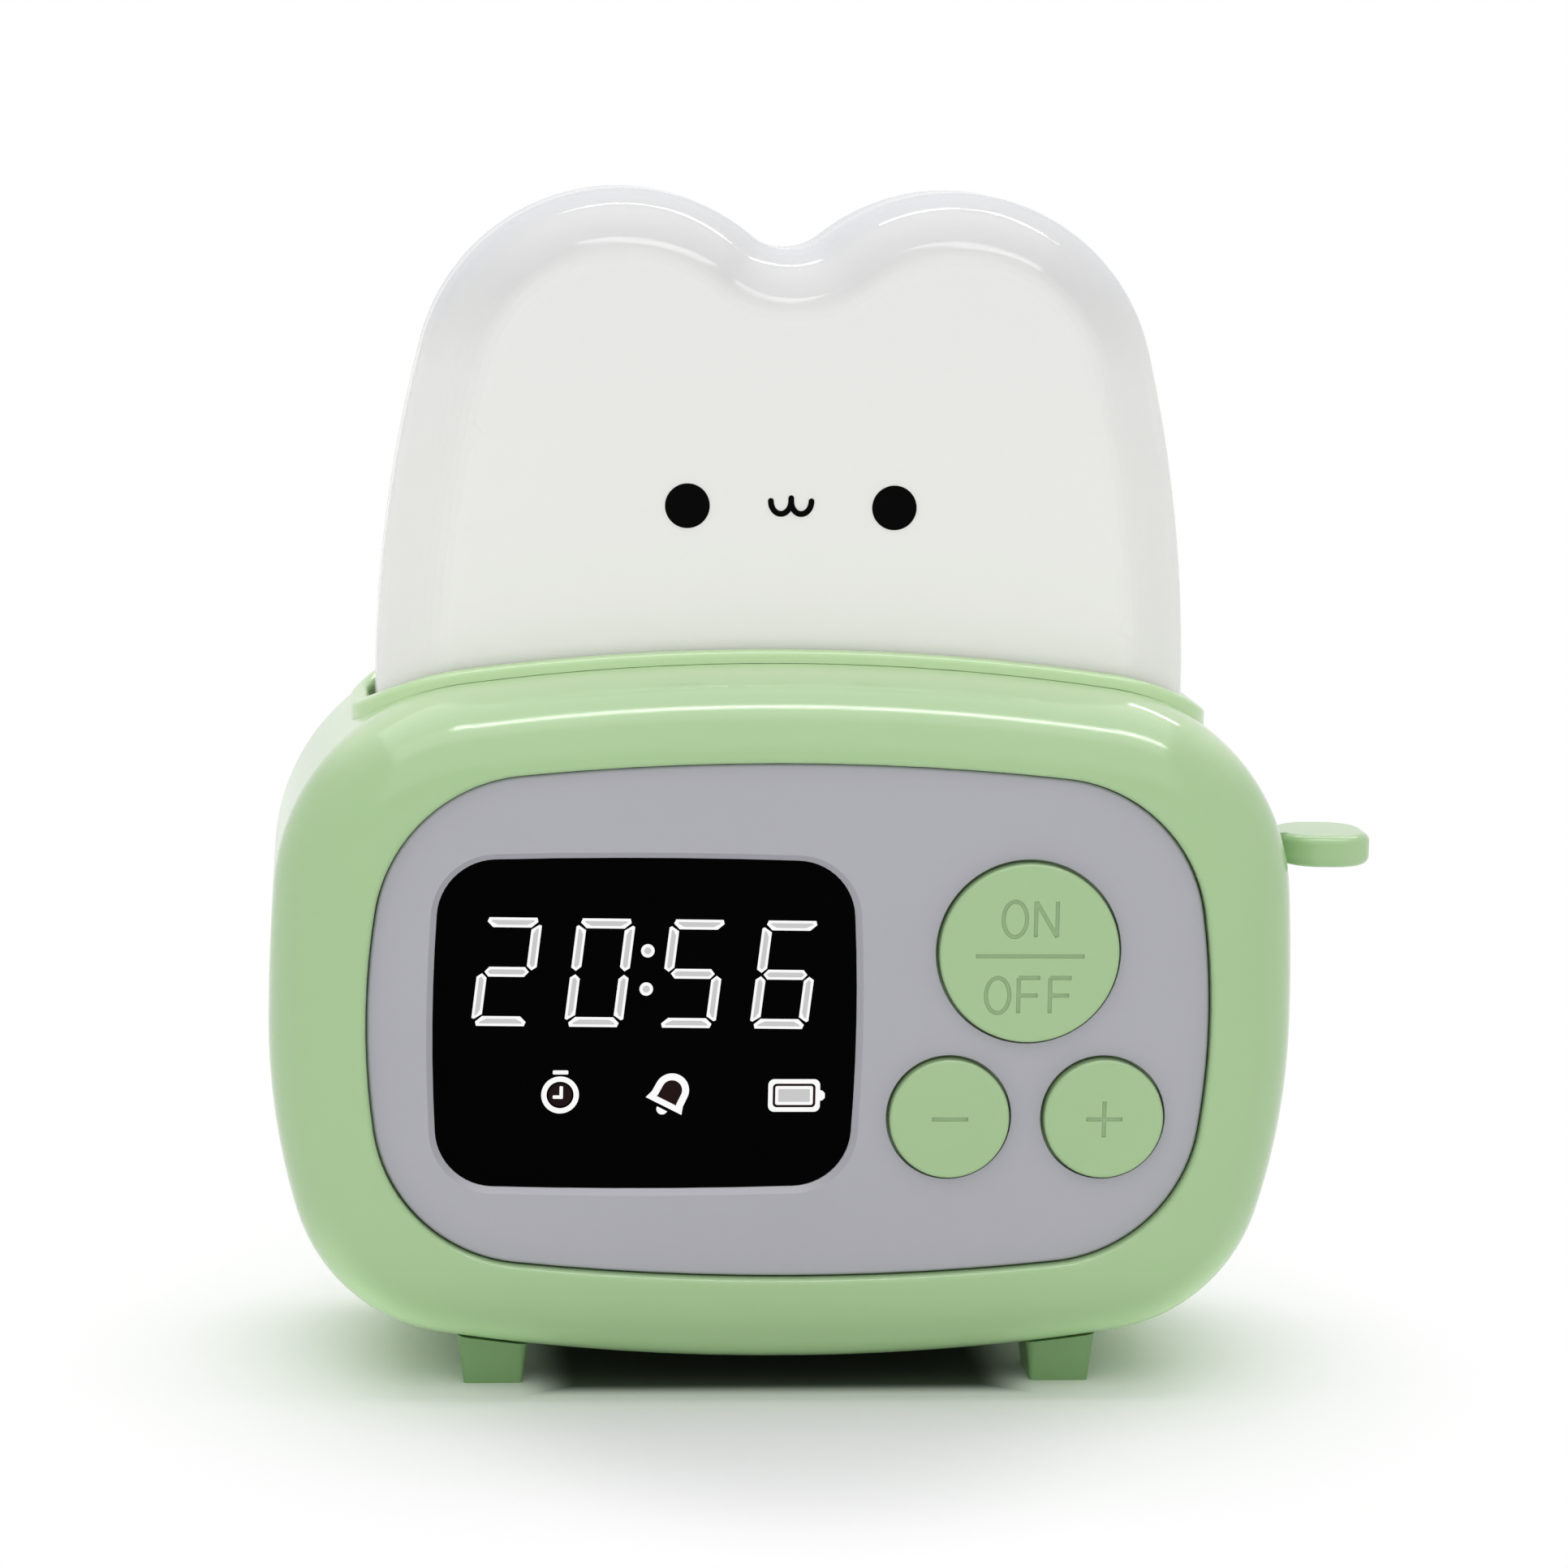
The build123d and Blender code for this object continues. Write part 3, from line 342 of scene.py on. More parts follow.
@dataclass(frozen=True)
class MouldedPlastic(Finish):
    """Smooth moulded plastic: a faint cloud in its colour and gloss, and a fine skin."""

    color: Color
    roughness: float = 0.2
    cloud: float = 0.02
    cloud_mm: float = 18.0
    cloud_gloss: float = 0.06
    skin_mm: float = 0.35
    skin_depth_mm: float = 0.0015

    def tint(self, surface: Surface, cloud: Signal) -> Signal:
        """The colour over the piece, from the soft noise that moves it."""
        dark, light = shade(self.color, 1 - self.cloud), shade(self.color, 1 + self.cloud)
        return surface.blend(cloud, dark, light)

    def sockets(self, surface: Surface) -> dict[str, Any]:
        """Fill the shader.

        Args:
            surface: The material's tree.

        Returns:
            What each socket gets.
        """
        cloud = surface.noise(self.cloud_mm)
        return {
            "Base Color": self.tint(surface, cloud),
            "Roughness": self.roughness + self.cloud_gloss * (cloud - 0.5),
            "Normal": surface.bump(surface.noise(self.skin_mm), self.skin_depth_mm),
        }


@dataclass(frozen=True)
class EngravedPlastic(MouldedPlastic):
    """The same plastic on a button cap, with painted shade down in the grooves of its face.

    The face is given by its middle and its radius, in metres.
    """

    face: Place = (0.0, 0.0, 0.0)
    face_r: float = 0.0
    groove_depth: float = 0.12 * MM
    groove_painted_shade: float = 0.84

    def tint(self, surface: Surface, cloud: Signal) -> Signal:
        """The colour over the cap, with painted shade in its grooves.

        Args:
            surface: The material's tree.
            cloud: The soft noise that moves the colour.

        Returns:
            The colour.
        """
        plain = super().tint(surface, cloud)
        _, depth, _ = surface.axes()
        inputs = {0: surface.place(), 1: self.face}
        away = surface.signal("ShaderNodeVectorMath", {"operation": "DISTANCE"}, inputs, "Value")
        sunk = ((depth - self.face[1]) / self.groove_depth).at_least(0.0).at_most(1.0)
        # painted shade: the grooves are a darker green
        painted_groove_shade = shade(self.color, self.groove_painted_shade)
        return surface.blend(sunk * away.below(self.face_r), plain, painted_groove_shade)


@dataclass(frozen=True)
class CasePlastic(MouldedPlastic):
    """The same plastic on the case, with painted light from the white slice and from the floor.

    Each zone is given by the levels at which its tone starts and is full, in metres: depth and
    width from the case's middle planes, and height.
    """

    # painted light: a paler green near the slot, standing for light thrown by the white slice
    slice_painted_light: Color = (0.5, 0.6, 0.4, 1.0)
    slice_depth: Span = (21.0 * MM, 15.5 * MM)
    slice_z: Span = (60.0 * MM, 66.0 * MM)
    # painted light: a paler green low on the case, standing for bounce light from the floor
    floor_painted_bounce_light: Color = (0.5, 0.6, 0.4, 1.0)
    floor_depth: Span = (21.0 * MM, 17.0 * MM)
    floor_z: Span = (22.0 * MM, 14.0 * MM)
    floor_x: Span = (49.0 * MM, 40.0 * MM)

    def tint(self, surface: Surface, cloud: Signal) -> Signal:
        """The colour over the case, with its painted light.

        Args:
            surface: The material's tree.
            cloud: The soft noise that moves the colour.

        Returns:
            The colour.
        """
        across, depth, height = surface.axes()
        aside, depth = (across - CASE_MIDDLE_X).size(), depth.size()
        by_slice_painted_light = surface.ramp(depth, *self.slice_depth) * surface.ramp(height, *self.slice_z)
        by_floor_painted_light = surface.ramp(depth, *self.floor_depth) * surface.ramp(height, *self.floor_z)
        by_floor_painted_light = by_floor_painted_light * surface.ramp(aside, *self.floor_x)
        # painted light near the slice and painted bounce light near the floor
        body = surface.blend(by_slice_painted_light, super().tint(surface, cloud), self.slice_painted_light)
        return surface.blend(by_floor_painted_light, body, self.floor_painted_bounce_light)


@dataclass(frozen=True)
class MilkyPlastic(Finish):
    """Frosted plastic that lets light in: soft and pale, with painted shade near its top rim and painted
    light at its foot.

    Its box is in metres, the crown is a zone below the top, and the edge zone lies behind the
    two flat sides. The normal falls away at the rim, so that a tighter round looks wide.
    """

    color: Color
    # painted light and shade: the foot tone is paler, against the shade near the trim; the crown and
    # edge tones are darker, against the light from above
    foot: Color
    crown: Color
    edge: Color
    foot_z: float
    top_z: float
    front_y: float
    back_y: float
    roughness: float = 0.07
    specular: float = 0.07
    cloud: float = 0.04
    cloud_shade: float = 0.8
    cloud_mm: float = 9.0
    cloud_gloss: float = 0.02
    skin: float = 0.001
    skin_mm: float = 0.5
    crown_reach: float = 19.0 * MM
    crown_full: float = 8.0 * MM
    crown_depths: Span = (0.0, 0.5 * MM)
    edge_depths: Span = (2.0 * MM, 6.0 * MM)
    fall: float = 0.87
    fall_start: float = 0.52 * MM
    light_share: float = 0.25
    light_depth: float = 1.6 * MM
    light_reach: Place = (1.0, 1.0, 0.95)

    def sockets(self, surface: Surface) -> dict[str, Any]:
        """Fill the shader.

        Args:
            surface: The material's tree.

        Returns:
            What each socket gets.
        """
        _, depth, height = surface.axes()
        inside = (depth - self.front_y).at_most(self.back_y - depth).at_least(0.0)
        up = surface.ramp(height, self.foot_z, self.top_z)
        crown = surface.ramp(height, self.top_z - self.crown_reach, self.top_z - self.crown_full)
        cloud = surface.noise(self.cloud_mm, 3.0)
        # painted light at the foot, painted shade in the crown and edge zones
        body = surface.blend(up, self.foot, self.color)
        for color, depths in ((self.crown, self.crown_depths), (self.edge, self.edge_depths)):
            body = surface.blend(surface.ramp(inside, *depths) * crown, body, color)
        fallen = (1 + inside / self.fall_start).natural_log()
        skin = self.skin * surface.noise(self.skin_mm)
        return {
            "Base Color": surface.blend(self.cloud * cloud, body, shade(self.color, self.cloud_shade)),
            "Roughness": self.roughness + self.cloud_gloss * (cloud - 0.5),
            "Specular IOR Level": self.specular,
            "Normal": surface.bump(skin - self.fall * fallen, 1.0),
            "Subsurface Weight": self.light_share,
            "Subsurface Radius": self.light_reach,
            "Subsurface Scale": self.light_depth,
        }


@dataclass(frozen=True)
class TintedLens(Finish):
    """Dark polished lens, near black, with a faint reflection."""

    dark: Color = (0.0003, 0.0003, 0.0004, 1.0)
    pale: Color = (0.0008, 0.0008, 0.001, 1.0)
    haze_mm: float = 6.0
    roughness: float = 0.07
    haze_gloss: float = 0.03
    specular: float = 0.012

    def sockets(self, surface: Surface) -> dict[str, Any]:
        """Fill the shader.

        Args:
            surface: The material's tree.

        Returns:
            What each socket gets.
        """
        haze = surface.noise(self.haze_mm)
        return {
            "Base Color": surface.blend(haze, self.dark, self.pale),
            "Roughness": self.roughness + self.haze_gloss * haze,
            "Specular IOR Level": self.specular,
        }


@dataclass(frozen=True)
class LitSign(Finish):
    """The light of a display's segment, a little uneven across it."""

    color: Color
    off_color: Color = (0.01, 0.01, 0.01, 1.0)
    roughness: float = 0.3
    specular: float = 0.1
    unevenness: float = 0.03
    patch_mm: float = 0.8

    def sockets(self, surface: Surface) -> dict[str, Any]:
        """Fill the shader.

        Args:
            surface: The material's tree.

        Returns:
            What each socket gets.
        """
        dim = shade(self.color, 1 - self.unevenness)
        return {
            "Base Color": self.off_color,
            "Roughness": self.roughness,
            "Specular IOR Level": self.specular,
            "Emission Color": surface.blend(surface.noise(self.patch_mm), dim, self.color),
            "Emission Strength": 1.0,
        }


@dataclass(frozen=True)
class PrintedInk(Finish):
    """Opaque printed ink, slightly glossy, with a faint orange-peel surface."""

    color: Color
    pale: float = 1.5
    roughness: float = 0.5
    peel_gloss: float = 0.1
    peel_mm: float = 0.3
    peel_depth_mm: float = 0.002
    specular: float = 0.02

    def sockets(self, surface: Surface) -> dict[str, Any]:
        """Fill the shader.

        Args:
            surface: The material's tree.

        Returns:
            What each socket gets.
        """
        peel = surface.noise(self.peel_mm)
        return {
            "Base Color": surface.blend(peel, self.color, shade(self.color, self.pale)),
            "Roughness": self.roughness + self.peel_gloss * peel,
            "Specular IOR Level": self.specular,
            "Normal": surface.bump(peel, self.peel_depth_mm),
        }


@dataclass(frozen=True)
class SolderMask(Finish):
    """Circuit board: solder mask over fine copper tracks."""

    mask: Color = paint(16, 92, 56)
    copper: Color = paint(48, 128, 74)
    track_scale: float = 420.0
    track_bend: float = 6.0
    track_level: float = 0.72
    track_depth_mm: float = 0.02
    roughness: float = 0.3
    cloud_gloss: float = 0.1
    cloud_mm: float = 2.0

    def sockets(self, surface: Surface) -> dict[str, Any]:
        """Fill the shader.

        Args:
            surface: The material's tree.

        Returns:
            What each socket gets.
        """
        wave = {"wave_type": "BANDS", "bands_direction": "DIAGONAL"}
        inputs = {"Vector": surface.place(), "Scale": self.track_scale, "Detail": 1.0}
        inputs["Distortion"] = self.track_bend
        tracks = surface.signal("ShaderNodeTexWave", wave, inputs, output=1).above(self.track_level)
        return {
            "Base Color": surface.blend(tracks, self.mask, self.copper),
            "Roughness": self.roughness + self.cloud_gloss * surface.noise(self.cloud_mm),
            "Normal": surface.bump(tracks, self.track_depth_mm),
        }


@dataclass(frozen=True)
class PlatedMetal(Finish):
    """Plated or foil metal, brushed along one axis."""

    color: Color
    roughness: float = 0.3
    grain_mm: float = 0.8
    grain_shade: float = 0.85
    grain_gloss: float = 0.2
    grain_depth_mm: float = 0.003
    stretch: tuple[float, float, float] = (1.0, 12.0, 1.0)

    def sockets(self, surface: Surface) -> dict[str, Any]:
        """Fill the shader.

        Args:
            surface: The material's tree.

        Returns:
            What each socket gets.
        """
        grain = surface.noise(self.grain_mm, 3.0, self.stretch)
        return {
            "Base Color": surface.blend(grain, shade(self.color, self.grain_shade), self.color),
            "Metallic": 1.0,
            "Roughness": self.roughness + self.grain_gloss * (grain - 0.5),
            "Normal": surface.bump(grain, self.grain_depth_mm),
        }


@dataclass(frozen=True)
class SocketShell(Finish):
    """The charging socket: plated shell with a black tongue inside, in metres."""

    centre_x: float
    centre_z: float
    tongue_w: float = 6.3 * MM
    tongue_t: float = 0.8 * MM
    black: Color = paint(22, 22, 24)
    plate_tones: tuple[Color, Color] = (paint(176, 178, 182), paint(205, 206, 209))
    roughness: float = 0.28
    tongue_gloss: float = 0.2
    grain_mm: float = 0.4
    grain_depth_mm: float = 0.002

    def sockets(self, surface: Surface) -> dict[str, Any]:
        """Fill the shader.

        Args:
            surface: The material's tree.

        Returns:
            What each socket gets.
        """
        along, _, height = surface.axes()
        across = (along - self.centre_x).size().below(self.tongue_w / 2)
        tongue = across * (height - self.centre_z).size().below(self.tongue_t / 2)
        grain = surface.noise(self.grain_mm)
        return {
            "Base Color": surface.blend(tongue, surface.blend(grain, *self.plate_tones), self.black),
            "Metallic": 1 - tongue,
            "Roughness": self.roughness + self.tongue_gloss * tongue,
            "Normal": surface.bump(grain, self.grain_depth_mm),
        }


@dataclass(frozen=True)
class SoftFoam(Finish):
    """Open-cell foam."""

    color: Color
    cell: float = 0.6 * MM
    cell_shade: float = 0.6
    cell_depth_mm: float = 0.15
    roughness: float = 0.95

    def sockets(self, surface: Surface) -> dict[str, Any]:
        """Fill the shader.

        Args:
            surface: The material's tree.

        Returns:
            What each socket gets.
        """
        inputs = {"Vector": surface.place(), "Scale": 1 / self.cell}
        cells = surface.signal("ShaderNodeTexVoronoi", inputs=inputs)
        return {
            "Base Color": surface.blend(cells, shade(self.color, self.cell_shade), self.color),
            "Roughness": self.roughness,
            "Normal": surface.bump(cells, self.cell_depth_mm),
        }


# ---- Meshes -----------------------------------------------------------------------------------
def object_of(name: str, mesh: bpy.types.Mesh) -> bpy.types.Object:
    """Put a mesh into the scene.

    Args:
        name: The object's name.
        mesh: The mesh.

    Returns:
        The object, at the origin.
    """
    piece = bpy.data.objects.new(name, mesh)
    bpy.context.scene.collection.objects.link(piece)
    return piece


def wire(name: str, strokes: Iterable[list[Vector]]) -> bpy.types.Object:
    """A mesh of edges only, for a tool to follow.

    Args:
        name: The object's name.
        strokes: Each stroke's points, in metres; a stroke that ends at its start is closed.

    Returns:
        The object.
    """
    vertices: list[Vector] = []
    edges: list[tuple[int, int]] = []
    for stroke in strokes:
        closed = (stroke[0] - stroke[-1]).length < SAME_PLACE
        points = stroke[:-1] if closed else stroke
        first = len(vertices)
        vertices += points
        edges += [(first + i, first + i + 1) for i in range(len(points) - 1)]
        if closed:
            edges.append((len(vertices) - 1, first))
    mesh = bpy.data.meshes.new(name)
    mesh.from_pydata(vertices, edges, [])
    return object_of(name, mesh)


def polygon(name: str, loop: Loop) -> bpy.types.Object:
    """Make one flat face on the x-y plane.

    Args:
        name: The object's name.
        loop: Its corners in millimetres.

    Returns:
        The object.
    """
    mesh = bpy.data.meshes.new(name)
    mesh.from_pydata([Vector((x, z, 0)) * MM for x, z in loop], [], [range(len(loop))])
    return object_of(name, mesh)


def lathe(name: str, profile: Loop, steps: int) -> bpy.types.Object:
    """Turn a profile round the y axis.

    Args:
        name: The object's name.
        profile: Radius and depth of each point in millimetres, from the front to the back.
        steps: How many faces go round.

    Returns:
        A closed solid about the origin.
    """
    shape = bmesh.new()
    rings = []
    for radius, depth in profile:
        ring = circle((0.0, 0.0), radius, steps)
        rings.append([shape.verts.new(Vector((x, depth, z)) * MM) for x, z in ring])
    for near, far in zip(rings, rings[1:]):
        for step in range(steps):
            after = (step + 1) % steps
            shape.faces.new((near[step], near[after], far[after], far[step]))
    shape.faces.new(rings[0])
    shape.faces.new(rings[-1])
    bmesh.ops.recalc_face_normals(shape, faces=shape.faces)
    mesh = bpy.data.meshes.new(name)
    shape.to_mesh(mesh)
    shape.free()
    return object_of(name, mesh)


def arc(centre: Point, radius: float, start: float, end: float, steps: int) -> Loop:
    """The points of an arc, with both ends.

    Args:
        centre: Its centre.
        radius: Its radius.
        start: The angle of its first point in radians.
        end: The angle of its last point.
        steps: How many edges it has.

    Returns:
        The points.
    """
    turns = [start + (end - start) * step / steps for step in range(steps + 1)]
    return [(centre[0] + radius * math.cos(a), centre[1] + radius * math.sin(a)) for a in turns]


def circle(centre: Point, radius: float, count: int = 48) -> Loop:
    """The points of a circle."""
    return arc(centre, radius, 0.0, 2 * math.pi, count)[:-1]


def rounded_edge(radius: float, depth: float, edge: float) -> Loop:
    """The points of a quarter round at the front rim of a turned piece.

    Args:
        radius: The piece's radius.
        depth: The depth of its front face.
        edge: The round's radius.

    Returns:
        Radius and depth of each point, from the face to the side.
    """
    return arc((radius - edge, depth + edge), edge, -math.pi / 2, 0.0, CORNER_STEPS)


def rounded_box(centre: Point, width: float, height: float, corner: float) -> Loop:
    """The points of a rectangle with round corners.

    Args:
        centre: Its middle.
        width: Its width.
        height: Its height.
        corner: The corners' radius.

    Returns:
        The loop, counter-clockwise.
    """
    loop = []
    for quarter, (side_x, side_z) in enumerate(((1, 1), (-1, 1), (-1, -1), (1, -1))):
        corner_x = centre[0] + side_x * (width / 2 - corner)
        corner_z = centre[1] + side_z * (height / 2 - corner)
        start = math.pi / 2 * quarter
        loop += arc((corner_x, corner_z), corner, start, start + math.pi / 2, CORNER_STEPS)
    return loop


def mirrored(loop: Loop) -> Loop:
    """A run of points on the other side of x = 0, in the opposite order."""
    return [(-x, z) for x, z in reversed(loop)]


def turned(loop: Loop, angle: float, about: Point) -> Loop:
    """A loop turned about a point by an angle in degrees, then moved there."""
    cos, sin = math.cos(math.radians(angle)), math.sin(math.radians(angle))
    return [(about[0] + x * cos - z * sin, about[1] + x * sin + z * cos) for x, z in loop]


def plate(name: str, loops: Iterable[Loop], front_y: float, thickness: float) -> bpy.types.Object:
    """A thin flat piece on the x-z plane; a loop inside another is a hole.

    Args:
        name: The object's name.
        loops: The outlines, in millimetres.
        front_y: The level of its front face, in millimetres.
        thickness: Its thickness in millimetres.

    Returns:
        The object, with its place in its mesh.
    """
    outline = bpy.data.curves.new(name, "CURVE")
    outline.dimensions = "2D"
    outline.fill_mode = "BOTH"
    outline.extrude = thickness / 2
    for loop in loops:
        spline = outline.splines.new("POLY")
        spline.points.add(len(loop) - 1)
        for point, (x, z) in zip(spline.points, loop):
            point.co = (x, z, 0, 1)
        spline.use_cyclic_u = True
    flat = bpy.data.objects.new(name, outline)
    bpy.context.scene.collection.objects.link(flat)
    mesh = mesh_of(flat)
    bpy.data.objects.remove(flat)
    upright = Matrix.Rotation(math.pi / 2, 4, "X")
    place = Matrix.Translation((0, (front_y + thickness / 2) * MM, 0))
    mesh.transform(place @ upright @ Matrix.Scale(MM, 4))
    return object_of(name, mesh)


def mesh_of(piece: bpy.types.Object) -> bpy.types.Mesh:
    """The plain mesh of an object with its modifiers done.

    Args:
        piece: The object.

    Returns:
        A new mesh.
    """
    depsgraph = bpy.context.evaluated_depsgraph_get()
    depsgraph.update()
    return bpy.data.meshes.new_from_object(piece.evaluated_get(depsgraph), depsgraph=depsgraph)


def settle(piece: bpy.types.Object) -> None:
    """Replace an object's mesh by what its modifiers make, and drop them.

    Args:
        piece: The object.
    """
    mesh = mesh_of(piece)
    piece.modifiers.clear()
    piece.data = mesh


def soften(piece: bpy.types.Object) -> None:
    """Shade a piece smooth, with flat faces kept flat and its sharp edges sharp.

    Args:
        piece: The object.
    """
    piece.data.polygons.foreach_set("use_smooth", [True] * len(piece.data.polygons))
    piece.data.set_sharp_from_angle(angle=math.radians(SHARP_DEGREES))
    weighted = piece.modifiers.new("normals", "WEIGHTED_NORMAL")
    weighted.keep_sharp = True
    settle(piece)


def islands(node: str) -> list[tuple[Vector, Vector]]:
    """The box of each separate solid of a CAD node, from left to right.

    Args:
        node: The node's name.

    Returns:
        The low and the high corner of each solid, in metres.
    """
    shape = bmesh.new()
    shape.from_mesh(frame["nodes"][node].data)
    bmesh.ops.remove_doubles(shape, verts=shape.verts, dist=WELD)
    waiting = set(shape.verts)
    boxes = []
    while waiting:
        front = [waiting.pop()]
        solid = []
        while front:
            vertex = front.pop()
            solid.append(vertex.co.copy())
            for edge in vertex.link_edges:
                other = edge.other_vert(vertex)
                if other in waiting:
                    waiting.remove(other)
                    front.append(other)
        low = Vector([min(place[axis] for place in solid) for axis in range(3)])
        high = Vector([max(place[axis] for place in solid) for axis in range(3)])
        boxes.append((low, high))
    shape.free()
    return sorted(boxes, key=lambda box: tuple(box[0]))


def middle(box: tuple[Vector, Vector]) -> Vector:
    """The middle of a box, in millimetres."""
    return (box[0] + box[1]) / (2 * MM)


# ---- Geometry node trees ----------------------------------------------------------------------
class Recipe(Graph):
    """A geometry node tree with named inputs, applied to an object as a modifier."""

    def __init__(self, name: str, inputs: dict[str, str]) -> None:
        """Make the tree.

        Args:
            name: The tree's name.
            inputs: Each input's name and socket type.
        """
        super().__init__(bpy.data.node_groups.new(name, "GeometryNodeTree"))
        face = self.tree.interface
        face.new_socket("Geometry", in_out="INPUT", socket_type="NodeSocketGeometry")
        face.new_socket("Geometry", in_out="OUTPUT", socket_type="NodeSocketGeometry")
        for socket_name, kind in inputs.items():
            face.new_socket(socket_name, in_out="INPUT", socket_type=kind)
        self.given = self.add("NodeGroupInput").outputs

    def close(self, shape: Any) -> None:
        """Realize the instances, set the finish and end the tree.

        Args:
            shape: The last geometry socket.
        """
        real = self.shape("GeometryNodeRealizeInstances", {0: shape})
        inputs = {"Geometry": real, "Material": self.given["Finish"]}
        self.add("NodeGroupOutput", inputs={0: self.shape("GeometryNodeSetMaterial", inputs)})

    def shape(self, kind: str, inputs: dict[str | int, Any]) -> bpy.types.NodeSocket:
        """Add a node and take the shape that it gives."""
        return self.add(kind, inputs=inputs).outputs[0]

    def join(self, shapes: Iterable[bpy.types.NodeSocket]) -> bpy.types.NodeSocket:
        """Join shapes into one.

        Args:
            shapes: The sockets of the shapes.

        Returns:
            The socket of all of them.
        """
        joined = self.add("GeometryNodeJoinGeometry")
        for shape in shapes:
            self.tree.links.new(shape, joined.inputs[0])
        return joined.outputs[0]

    def tube(self, path: Any, radius: Any, sides: int) -> bpy.types.NodeSocket:
        """A closed round tube along a curve.

        Args:
            path: The curve's socket.
            radius: The socket of the tube's radius.
            sides: How many faces go round it.

        Returns:
            The mesh's socket.
        """
        inputs = {"Resolution": sides, "Radius": radius}
        section = self.shape("GeometryNodeCurvePrimitiveCircle", inputs)
        inputs = {"Curve": path, "Profile Curve": section, "Fill Caps": True}
        return self.shape("GeometryNodeCurveToMesh", inputs)

    def run(self, piece: bpy.types.Object, **values: Any) -> None:
        """Apply the tree to an object, which keeps the plain mesh.

        Args:
            piece: The object.
            **values: Each input's value, with _ for a space in its name.
        """
        modifier = piece.modifiers.new(self.tree.name, "NODES")
        modifier.node_group = self.tree
        for item in self.tree.interface.items_tree:
            key = item.name.replace(" ", "_")
            if item.in_out == "INPUT" and key in values:
                modifier[item.identifier] = values[key]
        settle(piece)


def engraving_recipe(tool_sides: int = 14) -> Recipe:
    """A round-nosed tool cuts grooves along the strokes of a wire object.

    Args:
        tool_sides: How many faces the tool has.

    Returns:
        The tree, with the strokes, the tool's radius and the finish as its inputs.
    """
    inputs = {"Strokes": "NodeSocketObject", "Tool Radius": "NodeSocketFloat"}
    tree = Recipe("engrave", inputs | {"Finish": "NodeSocketMaterial"})
    strokes = tree.add("GeometryNodeObjectInfo", inputs={"Object": tree.given["Strokes"]})
    path = tree.shape("GeometryNodeMeshToCurve", {0: strokes.outputs["Geometry"]})
    groove = tree.tube(path, tree.given["Tool Radius"], tool_sides)
    settings = {"operation": "DIFFERENCE", "solver": "EXACT"}
    inputs = {"Mesh 1": tree.given["Geometry"], "Mesh 2": groove, "Self Intersection": True}
    tree.close(tree.add("GeometryNodeMeshBoolean", settings, inputs).outputs[0])
    return tree


def segments_recipe() -> Recipe:
    """Bars of four shapes stand at marked points, lean over together and get a thickness.

    Returns:
        The tree, with the four bars, the lean, the thickness and the finish as its inputs.
    """
    shapes = ["Level Bar", "Middle Bar", "Left Bar", "Right Bar"]
    inputs = {name: "NodeSocketObject" for name in shapes}
    inputs |= {"Lean": "NodeSocketFloat", "Thickness": "NodeSocketFloat"}
    tree = Recipe("segments", inputs | {"Finish": "NodeSocketMaterial"})
    kind = tree.signal("GeometryNodeInputNamedAttribute", {"data_type": "INT"}, {"Name": "kind"})
    turn = tree.signal("GeometryNodeInputNamedAttribute", {"data_type": "FLOAT"}, {"Name": "turn"})
    spin = tree.shape("ShaderNodeCombineXYZ", {"Z": turn})
    bars = []
    for index, name in enumerate(shapes):
        bar = tree.add("GeometryNodeObjectInfo", inputs={"Object": tree.given[name]})
        settings = {"data_type": "INT", "operation": "EQUAL"}
        chosen = tree.add("FunctionNodeCompare", settings, {2: kind, 3: index}).outputs[0]
        inputs = {"Points": tree.given["Geometry"], "Selection": chosen, "Rotation": spin}
        inputs["Instance"] = bar.outputs["Geometry"]
        bars.append(tree.shape("GeometryNodeInstanceOnPoints", inputs))
    real = tree.shape("GeometryNodeRealizeInstances", {0: tree.join(bars)})
    place = tree.shape("GeometryNodeInputPosition", {})
    height = Signal(tree, tree.add("ShaderNodeSeparateXYZ", inputs={0: place}).outputs[1])
    shift = tree.shape("ShaderNodeCombineXYZ", {"X": height * tree.given["Lean"]})
    leaning = tree.shape("GeometryNodeSetPosition", {"Geometry": real, "Offset": shift})
    inputs = {"Mesh": leaning, "Offset Scale": tree.given["Thickness"]}
    raised = tree.shape("GeometryNodeExtrudeMesh", inputs)
    solid = tree.join([raised, tree.shape("GeometryNodeFlipFaces", {0: leaning})])
    inputs = {"Geometry": solid, "Distance": SAME_PLACE}
    tree.close(tree.shape("GeometryNodeMergeByDistance", inputs))
    return tree


def repeats_recipe() -> Recipe:
    """One piece is set at every point of the object.

    Returns:
        The tree, with the piece and the finish as its inputs.
    """
    tree = Recipe("repeats", {"Piece": "NodeSocketObject", "Finish": "NodeSocketMaterial"})
    one = tree.add("GeometryNodeObjectInfo", inputs={"Object": tree.given["Piece"]})
    inputs = {"Points": tree.given["Geometry"], "Instance": one.outputs["Geometry"]}
    tree.close(tree.shape("GeometryNodeInstanceOnPoints", inputs))
    return tree


